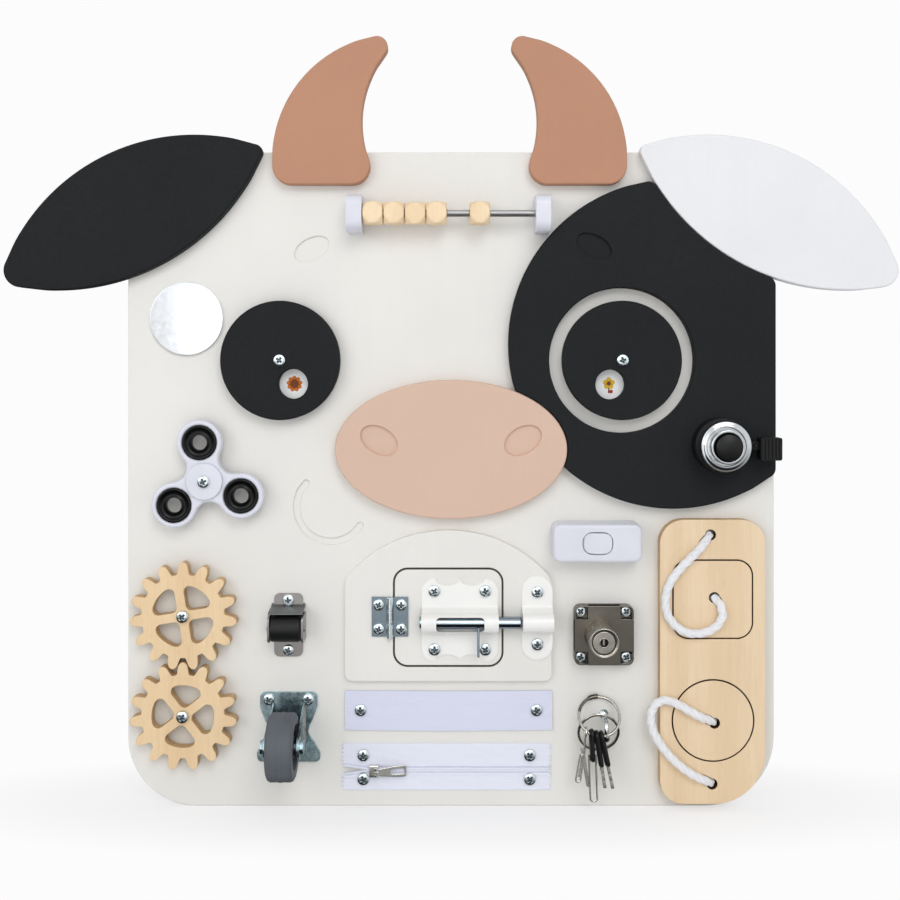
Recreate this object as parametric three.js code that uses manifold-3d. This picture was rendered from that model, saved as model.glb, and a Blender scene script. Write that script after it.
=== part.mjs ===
// A wooden busy board in the shape of a cow's head, with toys screwed to its front.
// Millimetres, +Z up. The board's front faces -Y, and the origin is the centre of its back face.

import * as THREE from 'three';
import { mergeVertices } from 'three/addons/utils/BufferGeometryUtils.js';
import Module from 'manifold-3d';

const wasm = await Module();
wasm.setup();

const FULL_TURN = 2 * Math.PI;
const HALF_TURN = Math.PI;
const RIGHT_ANGLE = Math.PI / 2;
const radians = THREE.MathUtils.degToRad;

// Clearances between pieces, and the overrun of every cut.
const SEAT_GAP = 0.3;
const BORE_GAP = 0.6;
const SIDE_GAP = 0.5;
const CUT = 1;
// How far a facet may lie inside its arc, and the distance under which two points are one.
const FACET_SAG = 0.16;
const SAME_POINT = 0.001;

// The painted plywood board. Its bottom corners are rounder than its top ones.
const BOARD = { width: 420, height: 425, thickness: 10, topRadius: 20, bottomRadius: 45 };

// On the board, "inset" is a distance in from its nearer side edge, "below" one down from its top edge,
// x one from its middle and z one up from its bottom edge.
const LEFT = -1;
const RIGHT = 1;

// The plywood slabs on its front.
const SLAB_T = 8;
const EAR = {
  upperArc: { inset: 44.7, below: 121, radius: 131 },
  lowerArc: { inset: -45.2, below: -54.9, radius: 145 },
  innerTip: 4.5,
  outerTip: 11,
};
const HORN = {
  outerArc: { inset: 175.5, below: 6, radius: 80.7 },
  innerArc: { inset: 223.2, below: -18.6, radius: 70.5 },
  footBelow: 22,
  footCorner: 12,
  tip: 7,
};
const RIGHT_HORN_SHIFT = -1.8;
const PATCH = { inset: 67, z: 300.1, radius: 106, edgeInset: 1, corner: 6, window: 46.8 };
const NOSE = { z: 232.3, halfWidth: 74.7, halfHeight: 44.7, thickness: 9 };
const NOSTRIL = { x: 46.2, z: 238.2, halfLength: 13, halfWidth: 8.7, tilt: radians(30), depth: 2 };
const BROW = { halfLength: 12.2, halfWidth: 7.2, tilt: radians(28), depth: 1.5 };
const BROW_LEFT = { inset: 119.4, z: 362.1 };
const BROW_RIGHT = { inset: 118, z: 363.1 };
const SMILE = {
  x: -78, z: 194.4, radius: 22.4, width: 4.5, depth: 1.5, from: radians(136), to: radians(328),
};
const MIRROR = { inset: 38.3, z: 316.7, radius: 23.7, thickness: 2 };

// Pan-head screws: the small ones hold plates, the large ones carry what turns.
const SCREW = { shank: 1.6, head: 3.5, rise: 2.2, depth: 7, bite: 0.2 };
const PIVOT_SCREW = { shank: 2, head: 3.9, rise: 2.4, depth: 7 };

// Eyes: discs with a peep hole, turning on a screw.
const EYE = { inset: 100, z: 289.6, radius: 38.4, thickness: 8, lift: 1.2, peep: 9.6, peepReach: 17.3 };
const PEEP_ANGLE_LEFT = radians(-61);
const PEEP_ANGLE_RIGHT = radians(-116);

// Bead rail.
const RAIL = { x: -1.5, z: 383.5, span: 120.5, height: 12, rod: 2.2, socket: 6, socketGap: 0.5 };
const BRACKET = { length: 10, height: 24, depth: 20, corner: 7 };
const BEAD = { length: 13, size: 14, cornerReach: 17, pitch: 13.6, loosePlace: 19.9 };
const BEADS_TOGETHER = 4;

// Finger spinner.
const SPINNER = {
  inset: 52.3, z: 212.2, reach: 25, lobe: 14.5, waist: 13.5, thickness: 7, lift: 5,
  turn: radians(98),
};
const SPINNER_LOBES = 3;
const SPINNER_HUB = { cap: 11.8, capRise: 1.8, core: 5, foot: 7 };
const SPINNER_EYE = 4.8;

// Gears.
const GEAR = { inset: 38, upperZ: 125.4, distance: 64.2, thickness: 8, lift: 2, root: 26.8, tip: 34.6 };
const GEAR_TEETH = 15;
// Each row: the radius as a share of the tooth's height over the root, half the tooth as a share of a
// half pitch.
const TOOTH_SHARES = [
  [0, 0.78], [0.1, 0.66], [0.41, 0.54], [0.68, 0.44], [0.84, 0.33], [0.95, 0.2], [1, 0.07],
];
const GEAR_WINDOW = { radius: 20, spoke: 6, corner: 3.5 };
const GEAR_SPOKES = 4;
const UPPER_SPOKE_ANGLE = radians(9);
const LOWER_SPOKE_ANGLE = radians(38);
const SPACER = 5;

// Small roller.
const ROLLER = { inset: 104.5, z: 118, radius: 8.3, length: 19.4, height: 11.5 };
const ROLLER_PLATE = {
  width: 18.6, height: 41, thickness: 1.2, corner: 3.4, cheek: 1.2, cheekTall: 17, screwZ: 16.2,
};
const ROLLER_AXLE = { radius: 1.8, rivet: 2.6, rivetRise: 0.9 };

// Fixed caster.
const CASTER = { inset: 104.8, z: 52, wheel: 21, tread: 17, height: 30, drop: 3.4, treadRound: 3 };
const CASTER_PLATE = {
  width: 37, foot: 41, height: 45, thickness: 2, corner: 3, screwX: 12.8, screwZ: 18, shoulder: 13,
  waist: 25, waistZ: -3, ankle: -16.5,
};
const CASTER_PLATE_STEPS = 8;
const CASTER_LEG = { thickness: 2, foot: 34, boss: 7 };
const CASTER_AXLE = { radius: 3, nut: 4.6, nutRise: 2.2 };

// Door, its frame plate and its butt hinge. Places are measured from the door's centre.
const DOOR = { x: -1.8, z: 123.5, width: 69, height: 61.8, corner: 8.4, thickness: 4, gap: 1.2 };
const FRAME = { width: 134, below: 41.4, archTop: 56.3, archRadius: 86.7, shoulder: 12, corner: 5 };
const HINGE = {
  outside: 3.1, z: 0.6, height: 25.6, leaf: 1, leafWidth: 11.8, knuckle: 1.9, pin: 1, bore: 1.4,
  pinRise: 1.1, screwX: 7.3, screwZ: 7.8, split: 0.4,
};
const HINGE_KNUCKLES = 3;

// Barrel bolt on the door and its keeper on the frame.
const BOLT = {
  x: 7.5, z: -1.5, width: 49.2, height: 53.5, plate: 1.2, lobe: 8.4, screwX: 16.4, screwZ: 18.8,
};
const BOLT_ROD = { radius: 4, axis: 8.6, tipGap: 0.5, behind: 1.2, handle: 1.5, handleX: 18.5 };
const BOLT_HUMP = { wall: 1.2, footHalf: 8.5, waist: 5.7, footRise: 0.6 };
const BOLT_SLOT = { from: -7.6, to: 23, above: 2.8, below: 7.4 };
const HANDLE = { reach: 21.6, from: 5.4, to: 11.5 };
const KEEPER = { gap: 14.3, width: 19.7, height: 54, z: -0.2, screwZ: 16.8 };

// Elastic strap and zipper.
const STRAP = { x: -1.6, z: 62.4, width: 134.7, height: 25.7, thickness: 1.2, screwX: 57, screwZ: 0.5 };
const ZIP = {
  x: -2.9, z: 25.8, width: 137, height: 30.5, thickness: 1, screwX: 54, screwZ: 7.7, pinking: 2,
};
const ZIP_PINKS = 6;
const CHAIN = { z: -1.7, width: 2.6, rise: 0.8 };
const SLIDER = { x: -47, length: 5.7, height: 8, rise: 3.4, wall: 1 };
const PULL = {
  reach: 19.6, height: 7.3, thickness: 1, pin: 0.6, collar: 1.4, holeLength: 9, holeHeight: 4,
  rim: 1.6,
};

// Toggle switch.
const SWITCH = { inset: 116.7, z: 173.2, width: 57, height: 25, depth: 17, corner: 4, bevel: 2 };
const ROCKER = {
  width: 18.4, height: 13.3, corner: 5, well: 8, stand: 1.6, bend: radians(12), throw: radians(12),
};

// Bell.
const BELL = {
  inset: 37.9, z: 235.5, base: 17.5, baseRise: 11.2, post: 3, capRise: 2.4, cap: 8.2, lip: 0.8,
};
const DOME_STEPS = 3;
const DOME = {
  radius: 15.8, rise: 15, wall: 1, shoulder: 10.6, ring: 8.7, ringRise: 1.2, straightShare: 0.45,
};
const STRIKER = { lug: 5.4, lugX: 21, pin: 1.3, boss: 3, arm: 2.4, armRise: 4, padFrom: 23, padTo: 36.6 };
const STRIKER_PAD = { below: 9.1, above: 5.3, rise: 9, rib: 0.8 };
const STRIKER_RIBS = 6;

// Drawer lock.
const LOCK = {
  inset: 111.5, z: 112.7, size: 38.2, thickness: 8.5, corner: 4, pocket: 8.6, pocketFloor: 3,
  screw: 14.8,
};
const BARREL = {
  x: -3, z: 0.6, radius: 9.3, rise: 22, plug: 7.1, floor: 9.5, recess: 0.7, keyHole: 1.3,
  keySlot: 5,
};

// Hook, two split rings and the keys. Places are measured from the hook's collar on the board.
const HOOK = { inset: 110.9, z: 60.3, wire: 1.5, collar: 3.1, collarRise: 1.6, depth: 6 };
const HOOK_REACH = 14.4;
const HOOK_DROP = 8.6;
const HOOK_BOWL = 2.9;
const RING = { wire: 0.9, offset: -4 };
const UPPER_RING = { radius: 13, standOff: 1.2 };
const LOWER_RING = { radius: 12.8, height: 9.4, lean: radians(17), over: 3.1 };
const KEY = {
  thick: 2.4, headWidth: 11, headHeight: 25, headCorner: 4, hole: 3, slack: 1.3, holeDrop: 4.8,
  bladeLength: 16,
  bladeWidth: 5, bladeThick: 1.6, notch: 1.2,
};
// Each key: its place on the ring, its tilt in degrees, and whether its blade shows its broad side.
const KEYS = [
  { place: 0.6, tilt: 12, broad: false },
  { place: -2.6, tilt: 9, broad: false },
  { place: -5.8, tilt: 2, broad: true },
  { place: -9.4, tilt: -9, broad: true },
];

// Puzzle panel with a square and a round piece. Places are measured from the panel's centre.
const PANEL = { inset: 41.7, z: 95.7, width: 67.8, height: 183, corner: 15.5, bigCorner: 33.5 };
const SQUARE = { x: 0, z: 40.3, width: 50.2, height: 49.4, corner: 9.6 };
const ROUND = { x: 0.2, z: -37.7, radius: 25.7 };
const INLAY_GAP = 0.9;
const ROPE = { diameter: 5.6, gap: 0.4, holeRadius: 3.6 };
// The ropes' routes: right of the panel's centre, up from it, and out from the panel's face.
const UPPER_ROPE = [
  [-1.4, 81.6, -3.6], [-4.6, 78, 0.4], [-9.6, 72.8, 3.3], [-16, 66.4, 3.6], [-22.6, 59.4, 3.3],
  [-28.2, 51.4, 3.2],
  [-30.9, 41.8, 3.2], [-30, 32.2, 3.2], [-24.9, 24.4, 3.2], [-16.8, 19.6, 3.2], [-7.6, 19.4, 3.2],
  [0.6, 23, 3.3],
  [5.2, 30, 3.5], [4.4, 37, 2], [1, 41.4, -2.6],
];
const LOWER_ROPE = [
  [1.2, -39.4, -3.6], [-3.4, -37, 0.4], [-9.6, -33.8, 3.3], [-16, -30.2, 3.6], [-23.2, -26.2, 3.4],
  [-30.4, -23.7, 3.2], [-37, -26, 3], [-40.3, -32.6, 3], [-39.4, -41.6, 3], [-34.8, -51, 3.1],
  [-28.2, -59.4, 3.2],
  [-20.4, -66.6, 3.4], [-12.2, -72, 3.5], [-5, -76, 0.9], [-0.4, -78.6, -3.4],
];
const ROPE_STEPS = 40;
const ROPE_SIDES = 7;

// Materials.
function finish(color, roughness, metalness = 0) {
  return new THREE.MeshStandardMaterial({ color, roughness, metalness });
}

const CREAM = finish(0xeceae5, 0.45);
const BLACK_PAINT = finish(0x2b2d2f, 0.6);
const PALE_PAINT = finish(0xeaeaec, 0.45);
const TAN = finish(0xc19076, 0.55);
const PINK = finish(0xd9b8a8, 0.55);
const BIRCH = finish(0xe6cba4, 0.6);
const SILVERED = finish(0xdfe2e8, 0.1, 0.9);
const ZINC = finish(0xb6bec4, 0.3, 0.9);
const NICKEL = finish(0xbdb7ad, 0.28, 0.9);
const CHROME = finish(0xe2e4e6, 0.08, 1);
const GUNMETAL = finish(0x77736e, 0.38, 0.8);
const WHITE_PLASTIC = finish(0xe6e8ee, 0.35);
const WHITE_METAL = finish(0xefeeea, 0.35);
const WHITE_FABRIC = finish(0xe2e5f0, 0.9);
const WHITE_ROPE = finish(0xf0f0f4, 0.9);
const BLACK_PLASTIC = finish(0x1c1c1d, 0.4);
const RUBBER = finish(0x5f6266, 0.7);

// Solids. Every solid lies in its station's frame: x to the right, z up, and heights out of the board's
// face.

function segmentsPerTurn(radius) {
  const halfStep = Math.acos(1 - Math.min(1, FACET_SAG / radius));
  return Math.max(8, Math.ceil(HALF_TURN / halfStep));
}

function toSolid(geometry) {
  const bare = geometry.clone();
  bare.deleteAttribute('normal');
  bare.deleteAttribute('uv');
  const merged = mergeVertices(bare, SAME_POINT);
  const index = merged.index.array;
  const triangles = [];
  for (let i = 0; i < index.length; i += 3) {
    const [a, b, c] = [index[i], index[i + 1], index[i + 2]];
    if (a !== b && b !== c && c !== a) triangles.push(a, b, c);
  }
  const vertProperties = merged.attributes.position.array;
  const triVerts = Uint32Array.from(triangles);
  return new wasm.Manifold(new wasm.Mesh({ numProp: 3, vertProperties, triVerts }));
}

function toGeometry(solid) {
  const mesh = solid.getMesh();
  const geometry = new THREE.BufferGeometry();
  const points = Float32Array.from(mesh.vertProperties);
  geometry.setAttribute('position', new THREE.BufferAttribute(points, mesh.numProp));
  geometry.setIndex(new THREE.BufferAttribute(Uint32Array.from(mesh.triVerts), 1));
  geometry.computeVertexNormals();
  return geometry;
}

function joined(...solids) {
  return solids.reduce((sum, solid) => sum.add(solid));
}

function cutBy(body, ...tools) {
  return tools.reduce((rest, tool) => rest.subtract(tool), body);
}

// An outline in a plane, made of straight runs and arcs.
class Outline {
  constructor() {
    this.points = [];
  }

  to(x, y) {
    const next = new THREE.Vector2(x, y);
    const last = this.points.at(-1);
    if (!last || last.distanceTo(next) > SAME_POINT) this.points.push(next);
    return this;
  }

  arc(centre, radius, from, to) {
    const steps = Math.max(1, Math.round(segmentsPerTurn(radius) * Math.abs(to - from) / FULL_TURN));
    for (let i = 0; i <= steps; i += 1) {
      const angle = from + (to - from) * i / steps;
      this.to(centre.x + radius * Math.cos(angle), centre.y + radius * Math.sin(angle));
    }
    return this;
  }

  shape() {
    const first = this.points[0];
    const open = this.points.at(-1).distanceTo(first) > SAME_POINT ? this.points : this.points.slice(0, -1);
    return new THREE.Shape(open);
  }
}

function at(x, y) {
  return new THREE.Vector2(x, y);
}

function angleFrom(a, b) {
  return Math.atan2(b.y - a.y, b.x - a.x);
}

// The point at distance ra from a and rb from b, on the left (side 1) or right (side -1) of the way from
// a to b.
function meeting(a, ra, b, rb, side) {
  const span = a.distanceTo(b);
  const along = (ra * ra - rb * rb + span * span) / (2 * span);
  const across = Math.sqrt(Math.max(0, ra * ra - along * along)) * side;
  const way = b.clone().sub(a).divideScalar(span);
  return a.clone().addScaledVector(way, along).add(at(-way.y, way.x).multiplyScalar(across));
}

function circle(x, y, radius) {
  return new Outline().arc(at(x, y), radius, 0, FULL_TURN).shape();
}

function oval(x, y, halfLength, halfWidth, tilt) {
  const steps = segmentsPerTurn(halfLength);
  const outline = new Outline();
  for (let i = 0; i < steps; i += 1) {
    const angle = FULL_TURN * i / steps;
    const level = at(halfLength * Math.cos(angle), halfWidth * Math.sin(angle));
    const point = level.rotateAround(at(0, 0), tilt);
    outline.to(x + point.x, y + point.y);
  }
  return outline.shape();
}

// A rectangle about (x, y) with one corner radius, or four: bottom left, bottom right, top right, top left.
function rectangle(x, y, width, height, corner) {
  const radii = Array.isArray(corner) ? corner : [corner, corner, corner, corner];
  const outline = new Outline();
  const signs = [[-1, -1], [1, -1], [1, 1], [-1, 1]];
  signs.forEach(([sx, sy], i) => {
    const r = radii[i];
    const centre = at(x + sx * (width / 2 - r), y + sy * (height / 2 - r));
    outline.arc(centre, r, HALF_TURN + i * RIGHT_ANGLE, HALF_TURN + (i + 1) * RIGHT_ANGLE);
  });
  return outline.shape();
}

function extruded(shape, depth, basis, place) {
  const geometry = new THREE.ExtrudeGeometry(shape, { depth, bevelEnabled: false, steps: 1 });
  geometry.applyMatrix4(new THREE.Matrix4().makeBasis(...basis).setPosition(place));
  return toSolid(geometry);
}

const ACROSS = new THREE.Vector3(1, 0, 0);
const UP = new THREE.Vector3(0, 0, 1);
const DOWN = new THREE.Vector3(0, 0, -1);
const OUT = new THREE.Vector3(0, -1, 0);

// An outline in (x, z), thick from one height to another.
function slab(shape, from, to) {
  return extruded(shape, to - from, [ACROSS, UP, OUT], new THREE.Vector3(0, -from, 0));
}

// An outline in (z, height), long from x = from to x = to.
function beam(shape, from, to) {
  return extruded(shape, to - from, [UP, OUT, ACROSS], new THREE.Vector3(from, 0, 0));
}

// An outline in (x, height), tall from z = from to z = to.
function post(shape, from, to) {
  return extruded(shape, to - from, [ACROSS, OUT, DOWN], new THREE.Vector3(0, 0, to));
}

const AXIS_BASES = {
  out: [ACROSS, OUT, DOWN],
  x: [DOWN, ACROSS, OUT],
  z: [ACROSS, UP, OUT],
};

// A turned solid about an axis through (x, height, z). The profile's rows are [radius, place along the
// axis].
function turned(profile, axis, x = 0, height = 0, z = 0) {
  const widest = Math.max(...profile.map(([radius]) => radius));
  const points = profile.map(([radius, along]) => at(radius, along));
  const geometry = new THREE.LatheGeometry(points, segmentsPerTurn(widest));
  const basis = new THREE.Matrix4().makeBasis(...AXIS_BASES[axis]);
  geometry.applyMatrix4(basis.setPosition(x, -height, z));
  return toSolid(geometry);
}

function rod(radius, from, to, axis, x, height, z) {
  return turned([[0, from], [radius, from], [radius, to], [0, to]], axis, x, height, z);
}

// The model's groups.
const model = new THREE.Group();
const face = new THREE.Group();
face.position.set(0, -BOARD.thickness, -BOARD.height / 2);
model.add(face);

function station(x, z, parent = face) {
  const group = new THREE.Group();
  group.position.set(x, 0, z);
  parent.add(group);
  return group;
}

// A station at a distance in from the board's left or right edge.
function sideStation(side, { inset, z }) {
  return station(side * (BOARD.width / 2 - inset), z);
}

function addPiece(group, name, solid, material) {
  const mesh = new THREE.Mesh(toGeometry(solid), material);
  mesh.name = name;
  group.add(mesh);
  return mesh;
}

// What the toys' screws, hooks and pins cut into the board, in the frame of its front face.
const boardCuts = [];

function boreBoard(group, x, z, radius, depth) {
  const hole = rod(radius + BORE_GAP, -(depth + SEAT_GAP), CUT, 'out', x, 0, z);
  boardCuts.push(hole.translate([group.position.x, 0, group.position.z]));
}

function headProfile(screw, seat) {
  return [
    [screw.shank, seat], [screw.head, seat], [screw.head * 0.93, seat + screw.rise * 0.5],
    [screw.head * 0.6, seat + screw.rise * 0.92], [0, seat + screw.rise],
  ];
}

// A pan-head screw through what lies under the height "seat", its tip at the height "tip".
function screwSolid(screw, x, z, seat, tip) {
  return turned([[0, tip], [screw.shank, tip], ...headProfile(screw, seat)], 'out', x, 0, z);
}

function screwHole(screw, x, z, from, to) {
  return rod(screw.shank + BORE_GAP, from, to, 'out', x, 0, z);
}

// The plate with its screws, driven into the board at the given places.
function screwedDown(group, plate, places, seat) {
  return places.reduce((solid, [x, z]) => {
    boreBoard(group, x, z, SCREW.shank, SCREW.depth);
    return joined(solid, screwSolid(SCREW, x, z, seat - SCREW.bite, -SCREW.depth));
  }, plate);
}

// Ears and horns

const SIDES = [{ name: 'left', side: LEFT }, { name: 'right', side: RIGHT }];

// A point of the right half, given from the board's right and top edges.
function nearCorner({ inset, below }) {
  return at(BOARD.width / 2 - inset, BOARD.height - below);
}

function onSide(side, shape, shift = 0) {
  return new THREE.Shape(shape.getPoints().map((point) => at(point.x * side + shift, point.y)));
}

// The leaf between two arcs, with a rounded tip at each end.
function earShape() {
  const { upperArc, lowerArc, innerTip, outerTip } = EAR;
  const upper = nearCorner(upperArc);
  const lower = nearCorner(lowerArc);
  const inner = meeting(upper, upperArc.radius - innerTip, lower, lowerArc.radius - innerTip, 1);
  const outer = meeting(upper, upperArc.radius - outerTip, lower, lowerArc.radius - outerTip, -1);
  return new Outline()
    .arc(lower, lowerArc.radius, angleFrom(lower, inner), angleFrom(lower, outer))
    .arc(outer, outerTip, angleFrom(lower, outer), angleFrom(upper, outer))
    .arc(upper, upperArc.radius, angleFrom(upper, outer), angleFrom(upper, inner))
    .arc(inner, innerTip, angleFrom(upper, inner), angleFrom(lower, inner) + FULL_TURN)
    .shape();
}

// A horn on a flat foot, curving outwards and in to its tip.
function hornShape() {
  const { outerArc, innerArc, footBelow, footCorner, tip } = HORN;
  const outer = nearCorner(outerArc);
  const inner = nearCorner(innerArc);
  const top = meeting(outer, outerArc.radius - tip, inner, innerArc.radius + tip, -1);
  const cornerZ = BOARD.height - footBelow + footCorner;
  const outerRun = Math.sqrt((outerArc.radius - footCorner) ** 2 - (cornerZ - outer.y) ** 2);
  const innerRun = Math.sqrt((innerArc.radius + footCorner) ** 2 - (cornerZ - inner.y) ** 2);
  const outerFoot = at(outer.x + outerRun, cornerZ);
  const innerFoot = at(inner.x + innerRun, cornerZ);
  return new Outline()
    .arc(outerFoot, footCorner, -RIGHT_ANGLE, angleFrom(outer, outerFoot))
    .arc(outer, outerArc.radius, angleFrom(outer, outerFoot), angleFrom(outer, top))
    .arc(top, tip, angleFrom(outer, top), angleFrom(inner, top) + HALF_TURN)
    .arc(inner, innerArc.radius, angleFrom(inner, top), angleFrom(inner, innerFoot))
    .arc(innerFoot, footCorner, angleFrom(inner, innerFoot) + HALF_TURN, HALF_TURN + RIGHT_ANGLE)
    .shape();
}

for (const { name, side } of SIDES) {
  const earPaint = side === LEFT ? BLACK_PAINT : PALE_PAINT;
  const shift = side === LEFT ? 0 : RIGHT_HORN_SHIFT;
  addPiece(face, `ear_${name}`, slab(onSide(side, earShape()), 0, SLAB_T), earPaint);
  addPiece(face, `horn_${name}`, slab(onSide(side, hornShape(), shift), 0, SLAB_T), TAN);
}

// Eye patch and nose

// The round patch, cut off by the board's right edge and by the ear's lower side.
function patchShape() {
  const middle = at(BOARD.width / 2 - PATCH.inset, PATCH.z);
  const ear = nearCorner(EAR.lowerArc);
  const earRadius = EAR.lowerArc.radius + SIDE_GAP;
  const r = PATCH.corner;
  const edge = BOARD.width / 2 - PATCH.edgeInset;
  const top = meeting(middle, PATCH.radius - r, ear, earRadius + r, 1);
  const high = at(edge - r, ear.y - Math.sqrt((earRadius + r) ** 2 - (edge - r - ear.x) ** 2));
  const low = at(edge - r, middle.y - Math.sqrt((PATCH.radius - r) ** 2 - (edge - r - middle.x) ** 2));
  return new Outline()
    .arc(high, r, 0, angleFrom(high, ear))
    .arc(ear, earRadius, angleFrom(ear, high), angleFrom(ear, top))
    .arc(top, r, angleFrom(top, ear), angleFrom(middle, top))
    .arc(middle, PATCH.radius, angleFrom(middle, top), angleFrom(middle, low) + FULL_TURN)
    .arc(low, r, angleFrom(middle, low), 0)
    .shape();
}

function noseOval(extra) {
  return oval(0, NOSE.z, NOSE.halfWidth + extra, NOSE.halfHeight + extra, 0);
}

// An engraved brow, in a face at the given height.
function browCut(side, { inset, z }, height) {
  const x = side * (BOARD.width / 2 - inset);
  const shape = oval(x, z, BROW.halfLength, BROW.halfWidth, -side * BROW.tilt);
  return slab(shape, height - BROW.depth, height + CUT);
}

addPiece(face, 'eye_patch', cutBy(
  slab(patchShape(), 0, SLAB_T),
  slab(circle(BOARD.width / 2 - EYE.inset, EYE.z, PATCH.window), -CUT, SLAB_T + CUT),
  slab(noseOval(SIDE_GAP), -CUT, SLAB_T + CUT),
  browCut(RIGHT, BROW_RIGHT, SLAB_T),
), BLACK_PAINT);

function nostril(side) {
  const { x, z, halfLength, halfWidth, tilt } = NOSTRIL;
  const shape = oval(side * x, z, halfLength, halfWidth, side * tilt);
  return slab(shape, NOSE.thickness - NOSTRIL.depth, NOSE.thickness + CUT);
}

const nosePlate = cutBy(slab(noseOval(0), 0, NOSE.thickness), nostril(LEFT), nostril(RIGHT));
addPiece(face, 'nose_plate', nosePlate, PINK);

const mirrorDisc = slab(circle(0, 0, MIRROR.radius), 0, MIRROR.thickness);
addPiece(sideStation(LEFT, MIRROR), 'mirror_disc', mirrorDisc, SILVERED);

// Eyes

for (const { name, side } of SIDES) {
  const eye = sideStation(side, EYE);
  const angle = side === LEFT ? PEEP_ANGLE_LEFT : PEEP_ANGLE_RIGHT;
  const top = EYE.lift + EYE.thickness;
  addPiece(eye, `${name}_eye_disc`, cutBy(
    slab(circle(0, 0, EYE.radius), EYE.lift, top),
    slab(circle(EYE.peepReach * Math.cos(angle), EYE.peepReach * Math.sin(angle), EYE.peep), 0, top + CUT),
    screwHole(PIVOT_SCREW, 0, 0, 0, top + CUT),
  ), BLACK_PAINT);
  boreBoard(eye, 0, 0, PIVOT_SCREW.shank, PIVOT_SCREW.depth);
  const pivot = screwSolid(PIVOT_SCREW, 0, 0, top + SEAT_GAP, -PIVOT_SCREW.depth);
  addPiece(eye, `${name}_eye_screw`, pivot, ZINC);
}

// Bead rail

const rail = station(RAIL.x, RAIL.z);
const railInside = RAIL.span / 2 - BRACKET.length / 2;

function railBracket(side) {
  const { height, depth, corner } = BRACKET;
  const shape = rectangle(0, depth / 2, height, depth, [0, 0, corner, corner]);
  const middle = side * RAIL.span / 2;
  const block = beam(shape, middle - BRACKET.length / 2, middle + BRACKET.length / 2);
  const socket = [railInside - CUT, railInside + RAIL.socket + SEAT_GAP].map((x) => side * x);
  socket.sort((a, b) => a - b);
  return cutBy(block, rod(RAIL.rod + RAIL.socketGap, ...socket, 'x', 0, RAIL.height, 0));
}

function bead() {
  const box = beam(rectangle(0, RAIL.height, BEAD.size, BEAD.size, 0), -BEAD.length / 2, BEAD.length / 2);
  const corners = new THREE.OctahedronGeometry(BEAD.cornerReach).translate(0, -RAIL.height, 0);
  const bore = rod(RAIL.rod + BORE_GAP, -BEAD.length, BEAD.length, 'x', 0, RAIL.height, 0);
  return cutBy(box.intersect(toSolid(corners)), bore);
}

addPiece(rail, 'bead_bracket_left', railBracket(LEFT), WHITE_PLASTIC);
addPiece(rail, 'bead_bracket_right', railBracket(RIGHT), WHITE_PLASTIC);
const rodEnd = railInside + RAIL.socket;
addPiece(rail, 'bead_rod', rod(RAIL.rod, -rodEnd, rodEnd, 'x', 0, RAIL.height, 0), ZINC);
const firstBead = -railInside + SEAT_GAP + BEAD.length / 2;
for (let i = 0; i <= BEADS_TOGETHER; i += 1) {
  const x = i < BEADS_TOGETHER ? firstBead + i * BEAD.pitch : BEAD.loosePlace;
  addPiece(station(x, 0, rail), `bead_${i + 1}`, bead(), BIRCH);
}

// Finger spinner

// Three round lobes joined by hollow flanks, each flank an arc that touches two lobes.
function spinnerShape() {
  const { reach, lobe, waist, turn } = SPINNER;
  const step = FULL_TURN / SPINNER_LOBES;
  const spread = lobe - waist;
  const flankReach = (reach * reach - spread * spread) / (2 * (reach * Math.cos(step / 2) + spread));
  const flank = flankReach - waist;
  const outline = new Outline();
  for (let i = 0; i < SPINNER_LOBES; i += 1) {
    const angle = turn + i * step;
    const centre = at(reach * Math.cos(angle), reach * Math.sin(angle));
    const before = at(flankReach * Math.cos(angle - step / 2), flankReach * Math.sin(angle - step / 2));
    const after = at(flankReach * Math.cos(angle + step / 2), flankReach * Math.sin(angle + step / 2));
    const next = at(reach * Math.cos(angle + step), reach * Math.sin(angle + step));
    const start = angleFrom(centre, before);
    const sweep = THREE.MathUtils.euclideanModulo(angleFrom(centre, after) - start, FULL_TURN);
    outline.arc(centre, lobe, start, start + sweep);
    const flankStart = angleFrom(after, centre);
    const flankSweep = THREE.MathUtils.euclideanModulo(flankStart - angleFrom(after, next), FULL_TURN);
    outline.arc(after, flank, flankStart, flankStart - flankSweep);
  }
  return outline.shape();
}

const spinner = sideStation(LEFT, SPINNER);
const spinnerTop = SPINNER.lift + SPINNER.thickness;

function spinnerBody() {
  const holes = [circle(0, 0, SPINNER_HUB.core + BORE_GAP)];
  for (let i = 0; i < SPINNER_LOBES; i += 1) {
    const angle = SPINNER.turn + i * FULL_TURN / SPINNER_LOBES;
    holes.push(circle(SPINNER.reach * Math.cos(angle), SPINNER.reach * Math.sin(angle), SPINNER_EYE));
  }
  const cuts = holes.map((hole) => slab(hole, 0, spinnerTop + CUT));
  return cutBy(slab(spinnerShape(), SPINNER.lift, spinnerTop), ...cuts);
}

// The hub that the spinner turns on: a foot on the board, the core and the cap under the screw's head.
function spinnerHub() {
  const { cap, capRise, core, foot } = SPINNER_HUB;
  const capSeat = spinnerTop + SEAT_GAP;
  const head = headProfile(PIVOT_SCREW, capSeat + capRise);
  return turned([
    [0, -PIVOT_SCREW.depth], [PIVOT_SCREW.shank, -PIVOT_SCREW.depth], [PIVOT_SCREW.shank, 0], [foot, 0],
    [foot, SPINNER.lift - SEAT_GAP], [core, SPINNER.lift - SEAT_GAP], [core, capSeat], [cap, capSeat],
    [cap, capSeat + capRise * 0.6], [cap - capRise * 0.4, capSeat + capRise], ...head.slice(1),
  ], 'out');
}

addPiece(spinner, 'spinner_body', spinnerBody(), WHITE_PLASTIC);
addPiece(spinner, 'spinner_hub', spinnerHub(), WHITE_PLASTIC);
boreBoard(spinner, 0, 0, PIVOT_SCREW.shank, PIVOT_SCREW.depth);

// Gears

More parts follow.
